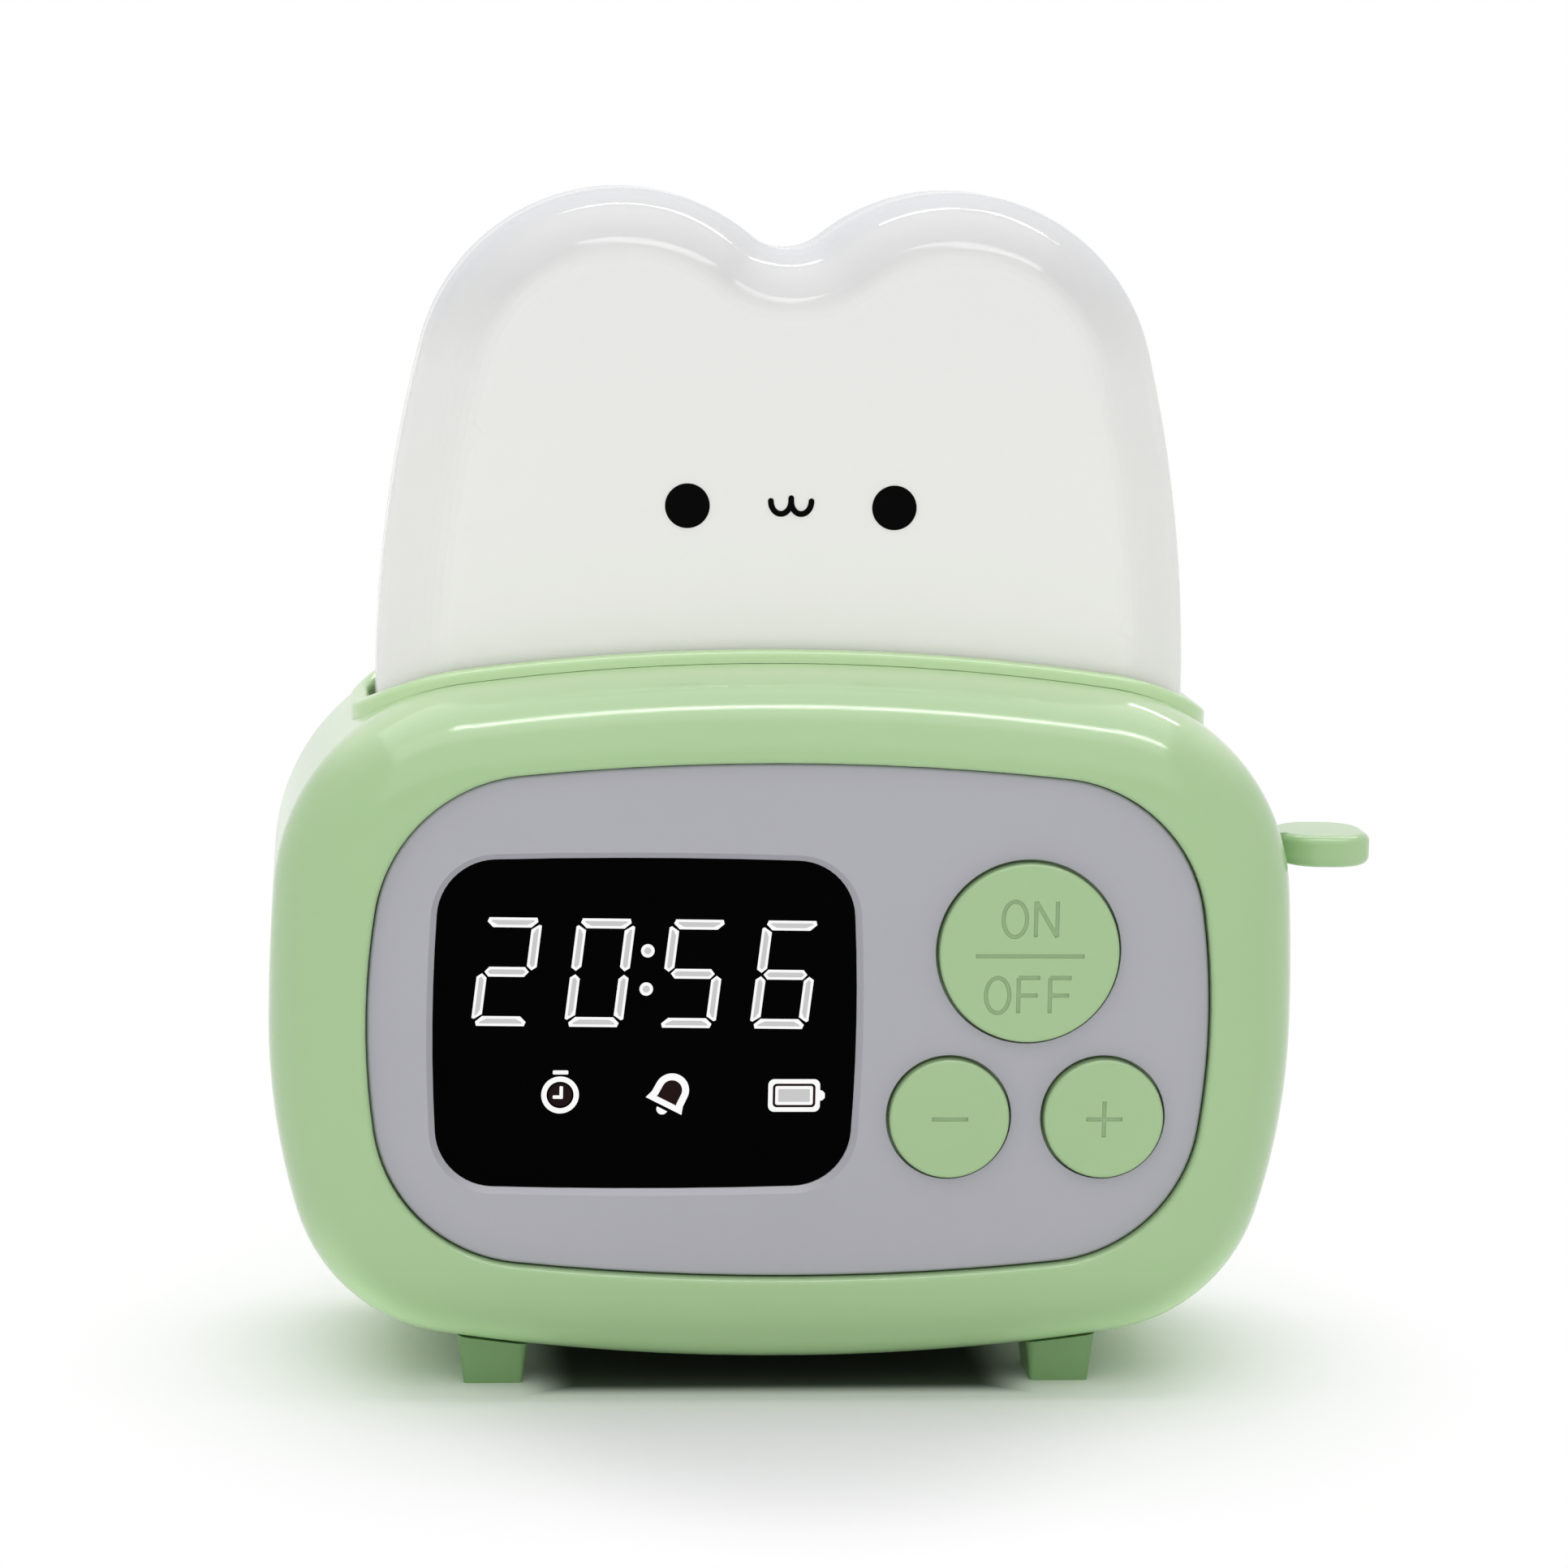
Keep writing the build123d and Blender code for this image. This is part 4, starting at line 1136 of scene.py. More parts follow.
def coil_recipe(steps: int = 32, wire_sides: int = 12) -> Recipe:
    """A round wire follows a helix about the z axis.

    Args:
        steps: How many edges a turn has.
        wire_sides: How many faces go round the wire.

    Returns:
        The tree, with the coil's sizes and the finish as its inputs.
    """
    lengths = {name: "NodeSocketFloat" for name in ("Turns", "Radius", "Height", "Wire Radius")}
    tree = Recipe("coil", lengths | {"Finish": "NodeSocketMaterial"})
    radius = tree.given["Radius"]
    inputs = {"Resolution": steps, "Rotations": tree.given["Turns"], "Height": tree.given["Height"]}
    inputs |= {"Start Radius": radius, "End Radius": radius}
    helix = tree.shape("GeometryNodeCurveSpiral", inputs)
    tree.close(tree.tube(helix, tree.given["Wire Radius"], wire_sides))
    return tree


# ---- Studio -----------------------------------------------------------------------------------
class Lit(Enum):
    """What a lamp does: soft boxes give the level, strips the lines of light on gloss."""

    DIFFUSE = 0
    GLOSS = 1


@dataclass(frozen=True)
class Lamp:
    """A soft rectangular lamp: its place, the point it faces and its size in metres, and watts."""

    name: str
    place: Place
    target: Place
    size: tuple[float, float]
    watts: float
    lit: Lit

    def hang(self) -> None:
        """Put the lamp into the scene."""
        data = bpy.data.lights.new(self.name, "AREA")
        data.shape = "RECTANGLE"
        data.size, data.size_y = self.size
        data.energy = self.watts
        lamp = bpy.data.objects.new(self.name, data)
        lamp.location = self.place
        lamp.visible_diffuse = self.lit is Lit.DIFFUSE
        lamp.visible_glossy = self.lit is Lit.GLOSS
        away = Vector(self.target) - Vector(self.place)
        lamp.rotation_euler = away.to_track_quat("-Z", "Y").to_euler()
        bpy.context.scene.collection.objects.link(lamp)


LAMP_TARGET = (0.0, 0.0, 0.05)
LAMPS = (
    Lamp("top_box", (0.0, 0.22, 1.1), LAMP_TARGET, (1.7, 0.9), 7.2, Lit.DIFFUSE),
    Lamp("front_box", (-0.15, -0.9, 1.15), LAMP_TARGET, (1.8, 0.8), 3.2, Lit.DIFFUSE),
    Lamp("low_box", (-0.15, -1.5, 0.17), LAMP_TARGET, (1.8, 0.26), 4.0, Lit.DIFFUSE),
    Lamp("top_sheen", (0.0, 0.0, 1.3), LAMP_TARGET, (2.0, 1.5), 12.0, Lit.GLOSS),
    Lamp("front_sheen", (0.0, -1.0, 1.3), LAMP_TARGET, (2.4, 1.5), 7.0, Lit.GLOSS),
    Lamp("front_strip", (0.28, -0.33, 1.2), (0.28, 0.0, 0.07), (1.2, 0.04), 4.0, Lit.GLOSS),
    Lamp("rear_strip", (0.31, 0.86, 1.2), (0.31, 0.0, 0.07), (1.36, 0.05), 5.6, Lit.GLOSS),
)


@dataclass
class Studio:
    """Camera, lamps, white surroundings, and a pale floor with the clock's shadow and painted shade.

    The floor's zones are ovals about the case's middle, in metres: their stretch along x and y,
    and the distances at which they start and are full.
    """

    camera_at: Vector = field(default_factory=lambda: Vector((-51.62, -510.36, 134.01)) * MM)
    camera_tilt: tuple[float, float, float] = (81.599, -1.088, -5.159)
    lens_mm: float = 117.7
    nearest: float = 10.0 * MM
    sky: float = 0.6
    floor_half: float = 4.0
    fade: Span = (45.0 * MM, 90.0 * MM)
    fade_shape: tuple[float, float] = (1.12, 0.84)
    aside: Span = (20.0 * MM, 40.0 * MM)
    aside_shape: tuple[float, float] = (1.0, 0.5)
    speck_mm: float = 1.5
    speck: float = 0.1
    # painted shadow: a dark tone on the floor under the clock, between the feet
    under: tuple[float, float] = (23.0 * MM, 17.2 * MM)
    painted_shadow_soft: float = 0.13
    painted_shadow_tone: Color = (0.07, 0.085, 0.065, 1.0)
    # painted shade: the paper is darker near the clock than beside it
    painted_shade_tone: Color = (0.83, 0.83, 0.835, 1.0)
    aside_tone: Color = (0.97, 0.97, 0.97, 1.0)

    def build(self) -> None:
        """Set up everything that isn't the clock."""
        self.camera()
        self.surroundings()
        self.floor()
        for lamp in LAMPS:
            lamp.hang()
        bpy.context.scene.view_settings.view_transform = "Standard"

    def camera(self) -> None:
        """Place the camera."""
        data = bpy.data.cameras.new("camera")
        data.lens = self.lens_mm
        data.clip_start = self.nearest
        camera = bpy.data.objects.new("camera", data)
        camera.location = self.camera_at
        camera.rotation_euler = [math.radians(angle) for angle in self.camera_tilt]
        bpy.context.scene.collection.objects.link(camera)
        bpy.context.scene.camera = camera

    def surroundings(self) -> None:
        """White all round, seen at full strength and lighting at the plain level."""
        world = bpy.data.worlds.new("surroundings")
        world.use_nodes = True
        bpy.context.scene.world = world
        graph = Graph(world.node_tree)
        world.node_tree.nodes.clear()
        strength = self.sky + (1 - self.sky) * self.seen(graph)
        inputs = {"Color": (1, 1, 1, 1), "Strength": strength}
        light = graph.add("ShaderNodeBackground", inputs=inputs)
        graph.add("ShaderNodeOutputWorld", inputs={"Surface": light.outputs[0]})

    def seen(self, graph: Graph) -> Signal:
        """1 for rays from the camera, from gloss and through glass.

        Args:
            graph: The node tree of the world or of a material.

        Returns:
            The share of white that such a ray meets.
        """
        path = graph.add("ShaderNodeLightPath").outputs
        kinds = ("Is Camera Ray", "Is Glossy Ray", "Is Transmission Ray")
        camera, gloss, glass = (Signal(graph, path[kind]) for kind in kinds)
        return camera.at_least(gloss).at_least(glass)

    def floor(self) -> None:
        """A pale floor with painted shade by the clock, turning into plain white away from it."""
        half = self.floor_half
        mesh = bpy.data.meshes.new("floor")
        corners = [(-half, -half, 0), (half, -half, 0), (half, half, 0), (-half, half, 0)]
        mesh.from_pydata(corners, [], [(0, 1, 2, 3)])
        floor = object_of("floor", mesh)
        surface = Surface("pale_floor")
        fade = surface.ramp(self.oval(surface, self.fade_shape), *self.fade)
        aside = surface.ramp(self.oval(surface, self.aside_shape), *self.aside)
        share = self.speck * surface.noise(self.speck_mm) + (1 - self.speck) * aside
        # painted shade: darker paper near the clock
        paper_with_painted_shade = surface.blend(share, self.painted_shade_tone, self.aside_tone)
        # painted shadow: the dark tone under the clock
        inputs = {"Color": surface.blend(self.painted_shadow_share(surface), paper_with_painted_shade, self.painted_shadow_tone)}
        matte = surface.add("ShaderNodeBsdfDiffuse", inputs=inputs)
        white = surface.add("ShaderNodeEmission", inputs={"Strength": 1.0})
        inputs = {0: fade * self.seen(surface), 1: matte.outputs[0], 2: white.outputs[0]}
        mixed = surface.add("ShaderNodeMixShader", inputs=inputs)
        surface.tree.links.new(mixed.outputs[0], surface.out.inputs["Surface"])
        floor.data.materials.append(surface.material)

    def oval(self, surface: Surface, shape: tuple[float, float]) -> Signal:
        """Distance on the floor from the case's middle, stretched so that its levels are ovals.

        Args:
            surface: The floor's material tree.
            shape: The stretch along x and y.

        Returns:
            The distance in metres.
        """
        across, along, _ = surface.axes()
        inputs = {"X": (across - CASE_MIDDLE_X) * shape[0], "Y": along * shape[1]}
        flat = surface.signal("ShaderNodeCombineXYZ", inputs=inputs)
        return surface.signal("ShaderNodeVectorMath", {"operation": "LENGTH"}, {0: flat}, "Value")

    def painted_shadow_share(self, surface: Surface) -> Signal:
        """The share of painted shadow: 1 on the floor right under the clock, 0 beside it.

        Args:
            surface: The floor's material tree.

        Returns:
            The share of the painted shadow's tone that the floor has between the feet.
        """
        across, along, _ = surface.axes()
        aside = ((across - CASE_MIDDLE_X) / self.under[0]).size()
        out = aside.at_least((along / self.under[1]).size())
        return surface.ramp(out, 1 + self.painted_shadow_soft, 1 - self.painted_shadow_soft)


# ---- Finishes on the CAD nodes ----------------------------------------------------------------
GREEN = paint(161, 193, 143)
BUTTON_GREEN = paint(159, 190, 141)
GREEN_GLOSS = 0.13
BREAD_FLANGE = 1.0 * MM


@dataclass
class Wardrobe:
    """All finishes by material slot, put on every CAD node."""

    green: Color = GREEN
    panel: Color = paint(168, 167, 175)
    milk: Color = paint(230, 230, 228)
    # painted light on the slice's foot and painted shade in its crown and edge zones
    milk_foot: Color = paint(234, 234, 230)
    milk_foot_z: float = 68.0 * MM
    milk_crown_painted_shade: Color = paint(217, 217, 217)
    milk_edge_painted_shade: Color = paint(213, 214, 218)
    # painted light: the trim is a paler green, standing for light thrown on it by the white slice
    trim: Color = paint(188, 217, 167)
    # painted light on the case: paler greens for light from the white slice and bounce light from the
    # floor
    by_slice_painted_light: Color = paint(189, 214, 171)
    by_floor_painted_light: Color = paint(192, 228, 172)
    # painted shade: the feet are a darker green, standing for the shade under the case's belly
    feet: Color = paint(118, 154, 103)

    def build(self) -> dict[Slot, bpy.types.Material]:
        """Make the finishes and dress the nodes.

        Returns:
            The material of each slot.
        """
        finishes = {
            Slot.GREEN: MouldedPlastic("green", self.green, GREEN_GLOSS),
            Slot.PANEL: MouldedPlastic("lavender", self.panel, roughness=0.42, skin_depth_mm=0.003),
            Slot.MILKY: self.milky(),
            Slot.LENS: TintedLens("lens"),
            Slot.BLACK: MouldedPlastic("black", paint(28, 28, 30), roughness=0.45),
            Slot.BOARD: SolderMask("board"),
            Slot.WHITE: MouldedPlastic("white", paint(236, 236, 232), roughness=0.35),
            Slot.LED: MouldedPlastic("led", paint(244, 226, 140), roughness=0.3),
            Slot.STEEL: PlatedMetal("steel", paint(190, 192, 196)),
            Slot.FOIL: PlatedMetal("foil", paint(212, 213, 216), roughness=0.4),
            Slot.FOAM: SoftFoam("foam", paint(96, 96, 98)),
        }
        materials = {slot: finish.make() for slot, finish in finishes.items()}
        own = self.own()
        for row in frame["record"]["subparts"]:
            chosen = own.get(row["node"], materials[Slot(row["material_slot"])])
            for place in frame["nodes"][row["node"]].material_slots:
                place.material = chosen
            LOG.info("finish %s on %s", chosen.name, row["node"])
        return materials

    def milky(self) -> MilkyPlastic:
        """The slice's plastic, fitted to its node's box.

        Returns:
            The finish.
        """
        low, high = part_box("bread_diffuser")
        tones = (self.milk, self.milk_foot, self.milk_crown_painted_shade, self.milk_edge_painted_shade)
        depths = (low.y + BREAD_FLANGE, high.y - BREAD_FLANGE)
        return MilkyPlastic("milky", *tones, self.milk_foot_z, high.z, *depths)

    def own(self) -> dict[str, bpy.types.Material]:
        """The materials of the nodes that have a finish of their own.

        Returns:
            The material of each such node.
        """
        socket = middle(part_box("usb_socket")) * MM
        zones = {"slice_painted_light": self.by_slice_painted_light, "floor_painted_bounce_light": self.by_floor_painted_light}
        # the case's green, with its painted light near the slice and the floor
        case = CasePlastic("case_green", self.green, GREEN_GLOSS, **zones).make()
        # painted shade: the feet's darker green
        feet = MouldedPlastic("foot_green", self.feet, roughness=0.3).make()
        corners = ("front_left", "rear_left", "front_right", "rear_right")
        return {
            "usb_socket": SocketShell("socket", socket.x, socket.z).make(),
            # painted light: the trim's paler green
            "slot_trim": MouldedPlastic("trim_green", self.trim).make(),
            "front_case": case,
            "rear_case": case,
        } | {f"foot_{corner}": feet for corner in corners}


# ---- Display ----------------------------------------------------------------------------------
class Bar(Enum):
    """The four shapes of a figure's bars."""

    LEVEL = 0
    MIDDLE = 1
    LEFT = 2
    RIGHT = 3


class Light(Enum):
    """How a sign of the display is lit: its rim, its heart, or not at all on a dim ground."""

    RIM = 0
    HEART = 1
    DIM = 2


@dataclass(frozen=True)
class Sign:
    """A flat sign: its outlines about its own middle, which is given from the window's centre.

    Its rise is the height of its front over the lens, in units of the figures' height.
    """

    name: str
    at: Point
    light: Light
    rise: float
    loops: Sequence[Loop]
    tilt: float = 0.0


def dial_signs(at: Point = (-8.2, -7.1), radii: Sequence[float] = (1.84, 1.32, 1.14)) -> list[Sign]:
    """The stopwatch: a dim dial, a ring with its knob, and two hands.

    Args:
        at: Its middle.
        radii: The ring's two radii and the dial's.

    Returns:
        Its signs.
    """
    outside, inside, dial = [circle((0.0, 0.0), radius, 64) for radius in radii]
    knob = rounded_box((0.02, 2.24), 1.52, 0.4, 0.12)
    hand_up = rounded_box((0.11, 0.24), 0.34, 1.26, 0.1)
    hand_left = rounded_box((-0.22, -0.21), 1.0, 0.34, 0.1)
    return [
        Sign("stopwatch_dial", at, Light.DIM, 0.6, [dial]),
        Sign("stopwatch_ring", at, Light.RIM, 1.0, [outside, inside, knob]),
        Sign("stopwatch_hand_up", at, Light.RIM, 1.0, [hand_up]),
        Sign("stopwatch_hand_left", at, Light.RIM, 1.1, [hand_left]),
    ]


def bell_signs(
    at: Point = (1.93, -8.2), tilt: float = -26.8, foot_t: float = 0.58, clapper_r: float = 0.56
) -> list[Sign]:
    """The bell: a dim hollow, the bell's rim and its clapper.

    Args:
        at: Middle of its foot.
        tilt: Its turn in degrees.
        foot_t: Thickness of its rim at the foot.
        clapper_r: The clapper's radius.

    Returns:
        Its signs.
    """
    outer = bell_loop(1.97, 1.68, 1.76)
    inner = [(x, max(z, foot_t)) for x, z in bell_loop(1.07, 1.0, 1.76)]
    clapper = arc((0.0, -0.32), clapper_r, 0.0, -math.pi, 12)
    return [
        Sign("bell_hollow", at, Light.DIM, 0.6, [inner], tilt),
        Sign("bell_rim", at, Light.RIM, 1.0, [outer, inner], tilt),
        Sign("bell_clapper", at, Light.RIM, 1.0, [clapper], tilt),
    ]


def bell_loop(
    foot_half: float, dome_r: float, dome_z: float, waist_shares: Point = (1.02, 0.45)
) -> Loop:
    """A bell's outline with its foot's middle at the origin.

    Args:
        foot_half: Half the foot's width.
        dome_r: The dome's radius.
        dome_z: Height of the dome's centre.
        waist_shares: The waist's half width and its height, as shares of the dome's.

    Returns:
        The loop.
    """
    waist, waist_z = dome_r * waist_shares[0], dome_z * waist_shares[1]
    dome = arc((0.0, dome_z), dome_r, 0.0, math.pi, 24)
    return [(-foot_half, 0.0), (foot_half, 0.0), (waist, waist_z)] + dome + [(-waist, waist_z)]


def cell_signs(at: Point = (14.72, -7.15)) -> list[Sign]:
    """The cell: a dim hollow, its shell with a nub at the right, and its level.

    Args:
        at: Its middle.

    Returns:
        Its signs.
    """
    sizes = ((4.24, 2.4, 0.4), (5.1, 3.25, 0.6), (4.2, 2.36, 0.4), (3.7, 1.88, 0.2), (3.1, 1.28, 0.1))
    hollow, outside, inside, level, heart = [rounded_box((0.0, 0.0), *size) for size in sizes]
    nub = [(2.52, -0.55), (2.82, -0.45), (3.02, -0.22)]
    nub += [(x, -z) for x, z in reversed(nub)]
    return [
        Sign("cell_hollow", at, Light.DIM, 0.6, [hollow]),
        Sign("cell_rim", at, Light.RIM, 1.0, [outside, inside]),
        Sign("cell_nub", at, Light.RIM, 1.1, [nub]),
        Sign("cell_level", at, Light.RIM, 0.9, [level]),
        Sign("cell_heart", at, Light.HEART, 1.2, [heart]),
    ]


@dataclass
class Display:
    """Lit figures and signs, on the lens. Places are from the window's centre, in millimetres.

    A bar's cuts say how far its corners lie in from the figure's side or from the bar's ends.
    """

    figures: str = "2056"
    first_x: float = -16.95
    foot_z: float = -0.39
    pitch: float = 9.06
    width: float = 5.7
    height: float = 10.72
    stroke: float = 0.97
    lean: float = 0.105
    row_turn: float = -0.5
    rim: float = 0.25
    thickness: float = 0.05
    stands: float = 0.02
    level_cuts: tuple[float, float, float] = (0.53, 0.39, 1.0)
    level_tip: float = 0.41
    middle_cuts: tuple[float, float] = (0.7, 1.12)
    side_cuts: tuple[float, float, float] = (0.8, 0.68, 1.17)
    side_foot_cuts: tuple[float, float, float] = (0.5, 0.17, 0.6)
    side_tip: float = 0.22
    white: Color = paint(250, 250, 250)
    core: Color = paint(199, 199, 199)
    warm: Color = paint(30, 18, 18)
    colon: tuple[Point, Point] = ((0.16, 7.2), (0.06, 3.42))
    colon_r: float = 0.66
    colon_heart: float = 0.52

    LIT = {"0": "ABCDEF", "2": "ABGED", "5": "AFGCD", "6": "AFGECD"}

    def build(self) -> None:
        """Make the figures, the colon and the three signs."""
        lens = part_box("display_window")
        self.face_y = lens[0].y / MM
        centre = middle(lens)
        self.origin = (centre.x, centre.z)
        self.lights = {
            Light.RIM: LitSign("glow", self.white).make(),
            Light.HEART: LitSign("glow_heart", self.core).make(),
            Light.DIM: PrintedInk("sign_shade", self.warm).make(),
        }
        recipe = segments_recipe()
        self.bars(recipe, "figure_rims", 0.0, 1.0, Light.RIM)
        self.bars(recipe, "figure_hearts", self.rim, 1.5, Light.HEART)
        for sign in self.colon_signs() + dial_signs() + bell_signs() + cell_signs():
            self.sign(sign)

    def bar_loops(self, inset: float) -> dict[Bar, Loop]:
        """The outline of each shape of bar, about its own middle.

        Args:
            inset: How much smaller it is all round. Slanted corners take a larger or a smaller
                share of it than straight ones.

        Returns:
            The loops by shape.
        """
        half_w, half_h = self.width / 2, self.height / 4
        edge, reach = self.stroke / 2 - inset, 1.7 * inset
        far, tip, near = self.level_cuts
        level = [
            (-half_w + far + inset, edge),
            (-half_w + tip + reach, edge - self.level_tip + inset),
            (-half_w + near + reach, -edge),
        ]
        tip, near = self.middle_cuts
        ends, flat = half_w - tip - 1.2 * inset, half_w - near - 0.6 * inset
        centre = [(-ends, 0.0), (-flat, -edge), (flat, -edge), (ends, 0.0), (flat, edge), (-flat, edge)]
        out, tip, near = self.side_cuts
        foot_out, foot_tip, foot_near = self.side_foot_cuts
        left = [
            (-edge, half_h - out - inset),
            (-edge, -half_h + foot_out + 0.7 * inset),
            (0.0, -half_h + foot_tip + 1.2 * inset),
            (edge, -half_h + foot_near + 0.8 * inset),
            (edge, half_h - near - reach),
            (-edge + self.side_tip, half_h - tip - reach),
        ]
        return {
            Bar.LEVEL: level + mirrored(level),
            Bar.MIDDLE: centre,
            Bar.LEFT: left,
            Bar.RIGHT: mirrored(left),
        }

    def spots(self) -> dict[str, tuple[float, float, Bar, float]]:
        """Where each of a figure's seven bars stands.

        Returns:
            By letter, the bar's place from the figure's middle, its shape and its turn.
        """
        side = self.width / 2 - self.stroke / 2
        top, upper = self.height / 2 - self.stroke / 2, self.height / 4
        return {
            "A": (0.0, top, Bar.LEVEL, 0.0),
            "D": (0.0, -top, Bar.LEVEL, math.pi),
            "G": (0.0, 0.0, Bar.MIDDLE, 0.0),
            "F": (-side, upper, Bar.LEFT, 0.0),
            "C": (side, -upper, Bar.LEFT, math.pi),
            "B": (side, upper, Bar.RIGHT, 0.0),
            "E": (-side, -upper, Bar.RIGHT, math.pi),
        }

    def bars(self, recipe: Recipe, name: str, inset: float, rise: float, light: Light) -> None:
        """Make all lit bars of the four figures as one piece.

        Args:
            recipe: The geometry node tree for bars.
            name: The piece's name.
            inset: How much smaller the bars are than the full ones.
            rise: Height of their front over the lens, in units of the figures' height.
            light: How they are lit.
        """
        spots = self.spots()
        points, kinds, turns = [], [], []
        for index, figure in enumerate(self.figures):
            middle_x = self.first_x + self.width / 2 + index * self.pitch
            for letter in self.LIT[figure]:
                x, z, kind, turn = spots[letter]
                points.append(Vector((middle_x + x, z, 0)) * MM)
                kinds.append(kind.value)
                turns.append(turn)
        mesh = bpy.data.meshes.new(name)
        mesh.from_pydata(points, [], [])
        mesh.attributes.new("kind", "INT", "POINT").data.foreach_set("value", kinds)
        mesh.attributes.new("turn", "FLOAT", "POINT").data.foreach_set("value", turns)
        piece = object_of(name, mesh)
        loops = self.bar_loops(inset)
        shapes = {f"{bar.name.title()}_Bar": polygon(bar.name, loop) for bar, loop in loops.items()}
        sizes = {"Lean": self.lean, "Thickness": self.thickness * MM}
        recipe.run(piece, **shapes, **sizes, Finish=self.lights[light])
        for shape in shapes.values():
            bpy.data.objects.remove(shape)
        slide = self.origin[0] + self.lean * self.height / 2
        depth = self.face_y + self.thickness - rise * self.stands
        lift = self.origin[1] + self.foot_z + self.height / 2
        upright = Matrix.Rotation(math.pi / 2, 4, "X")
        tilt = Matrix.Rotation(math.radians(-self.row_turn), 4, "Y")
        place = Matrix.Translation(Vector((slide, depth, lift)) * MM)
        piece.data.transform(place @ tilt @ upright)
        self.seat(piece)

    def colon_signs(self) -> list[Sign]:
        """The two dots between the hours and the minutes.

        Returns:
            Their rims and their hearts.
        """
        rims = [circle(dot, self.colon_r) for dot in self.colon]
        hearts = [circle(dot, self.colon_heart * self.colon_r) for dot in self.colon]
        return [
            Sign("colon_rims", (0.0, 0.0), Light.RIM, 1.0, rims),
            Sign("colon_hearts", (0.0, 0.0), Light.HEART, 1.5, hearts),
        ]

    def sign(self, sign: Sign) -> None:
        """Make one flat sign on the lens.

        Args:
            sign: The sign.
        """
        at = (sign.at[0] + self.origin[0], sign.at[1] + self.origin[1])
        loops = [turned(loop, sign.tilt, at) for loop in sign.loops]
        piece = plate(sign.name, loops, self.face_y - sign.rise * self.stands, self.thickness)
        piece.data.materials.append(self.lights[sign.light])
        self.seat(piece)

    def seat(self, piece: bpy.types.Object) -> None:
        """Let a piece of the display ride on the clock.

        Args:
            piece: The piece.
        """
        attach(piece, Body.CLOCK.value)
        LOG.info("display piece %s", piece.name)


# ---- Buttons ----------------------------------------------------------------------------------
LETTERS: dict[str, list[Loop]] = {
    "O": [[(1.1 * x, z) for x, z in circle((0.0, 0.0), 1.0, 32) + [(1.0, 0.0)]]],
    "N": [[(-1, -1), (-1, 1)], [(-1, 1), (1, -1)], [(1, -1), (1, 1)]],
    "F": [[(-1, -1), (-1, 1)], [(-1, 1), (1, 1)], [(-1, 0), (0.8, 0)]],
}


@dataclass
class Buttons:
    """Three caps with engraved signs. Lengths are in millimetres."""

    green: Color
    flange: float = 1.0
    flange_t: float = 0.8
    edge: float = 0.35
    wall: float = 1.2
    skin: float = 1.4
    post_r: float = 2.6
    steps: int = 96
    tool_r: float = 0.21
    depth: float = 0.2
    letter_h: float = 3.5
    letter_w: float = 2.1
    letter_gap: float = 1.0
    on_z: float = 3.4
    off_z: float = -4.15
    line_z: float = -0.26
    line_half: float = 5.35
    sign_half: float = 1.8

    def build(self) -> None:
        """Make the three caps."""
        recipe = engraving_recipe()
        words = self.word("ON", self.on_z) + self.word("OFF", self.off_z)
        divider = [[(-self.line_half, self.line_z), (self.line_half, self.line_z)]]
        minus = [[(-self.sign_half, 0.0), (self.sign_half, 0.0)]]
        plus = minus + [[(0.0, -self.sign_half), (0.0, self.sign_half)]]
        self.cap(recipe, Body.START_STOP, words + divider)
        self.cap(recipe, Body.MINUTE, minus)
        self.cap(recipe, Body.SECOND, plus)

    def word(self, letters: str, middle_z: float) -> list[Loop]:
        """The strokes of a word, centred.

        Args:
            letters: The word, of the letters O, N and F.
            middle_z: Height of its middle.

        Returns:
            The strokes.
        """
        half_w, half_h = self.letter_w / 2, self.letter_h / 2
        step = self.letter_w + self.letter_gap
        strokes = []
        for index, letter in enumerate(letters):
            middle_x = step * (index - (len(letters) - 1) / 2)
            for stroke in LETTERS[letter]:
                strokes.append([(middle_x + half_w * x, middle_z + half_h * z) for x, z in stroke])
        return strokes

    def cap(self, recipe: Recipe, body: Body, signs: list[Loop]) -> None:
        """Make one cap, engrave it and put it in its node's place.

        Args:
            recipe: The engraving tree.
            body: The button's body.
            signs: The strokes to engrave.
        """
        node = body.value + "_button"
        low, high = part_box(node)
        centre = middle((low, high))
        front, back = low.y / MM, high.y / MM
        flange_r = (high.x - low.x) / (2 * MM)
        radius = flange_r - self.flange
        inner, floor = radius - self.wall, front + self.skin
        profile = rounded_edge(radius, front, self.edge)
        profile += [(radius, back - self.flange_t), (flange_r, back - self.flange_t), (flange_r, back)]
        profile += [(inner, back), (inner, floor), (self.post_r, floor), (self.post_r, back)]
        piece = lathe(body.value + "_cap", profile, self.steps)
        piece.data.transform(Matrix.Translation(Vector((centre.x, 0, centre.z)) * MM))
        level = front - self.tool_r + self.depth
        strokes = [[Vector((centre.x + x, level, centre.z + z)) * MM for x, z in sign] for sign in signs]
        tool = wire("strokes", strokes)
        face = {"face": (centre.x * MM, low.y, centre.z * MM), "face_r": (radius - 2 * self.edge) * MM}
        plastic = EngravedPlastic(body.value + "_green", self.green, GREEN_GLOSS, **face).make()
        recipe.run(piece, Strokes=tool, Tool_Radius=self.tool_r * MM, Finish=plastic)
        bpy.data.objects.remove(tool)
        soften(piece)
        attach(piece, body.value)
        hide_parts(node)
        LOG.info("button cap %s", piece.name)


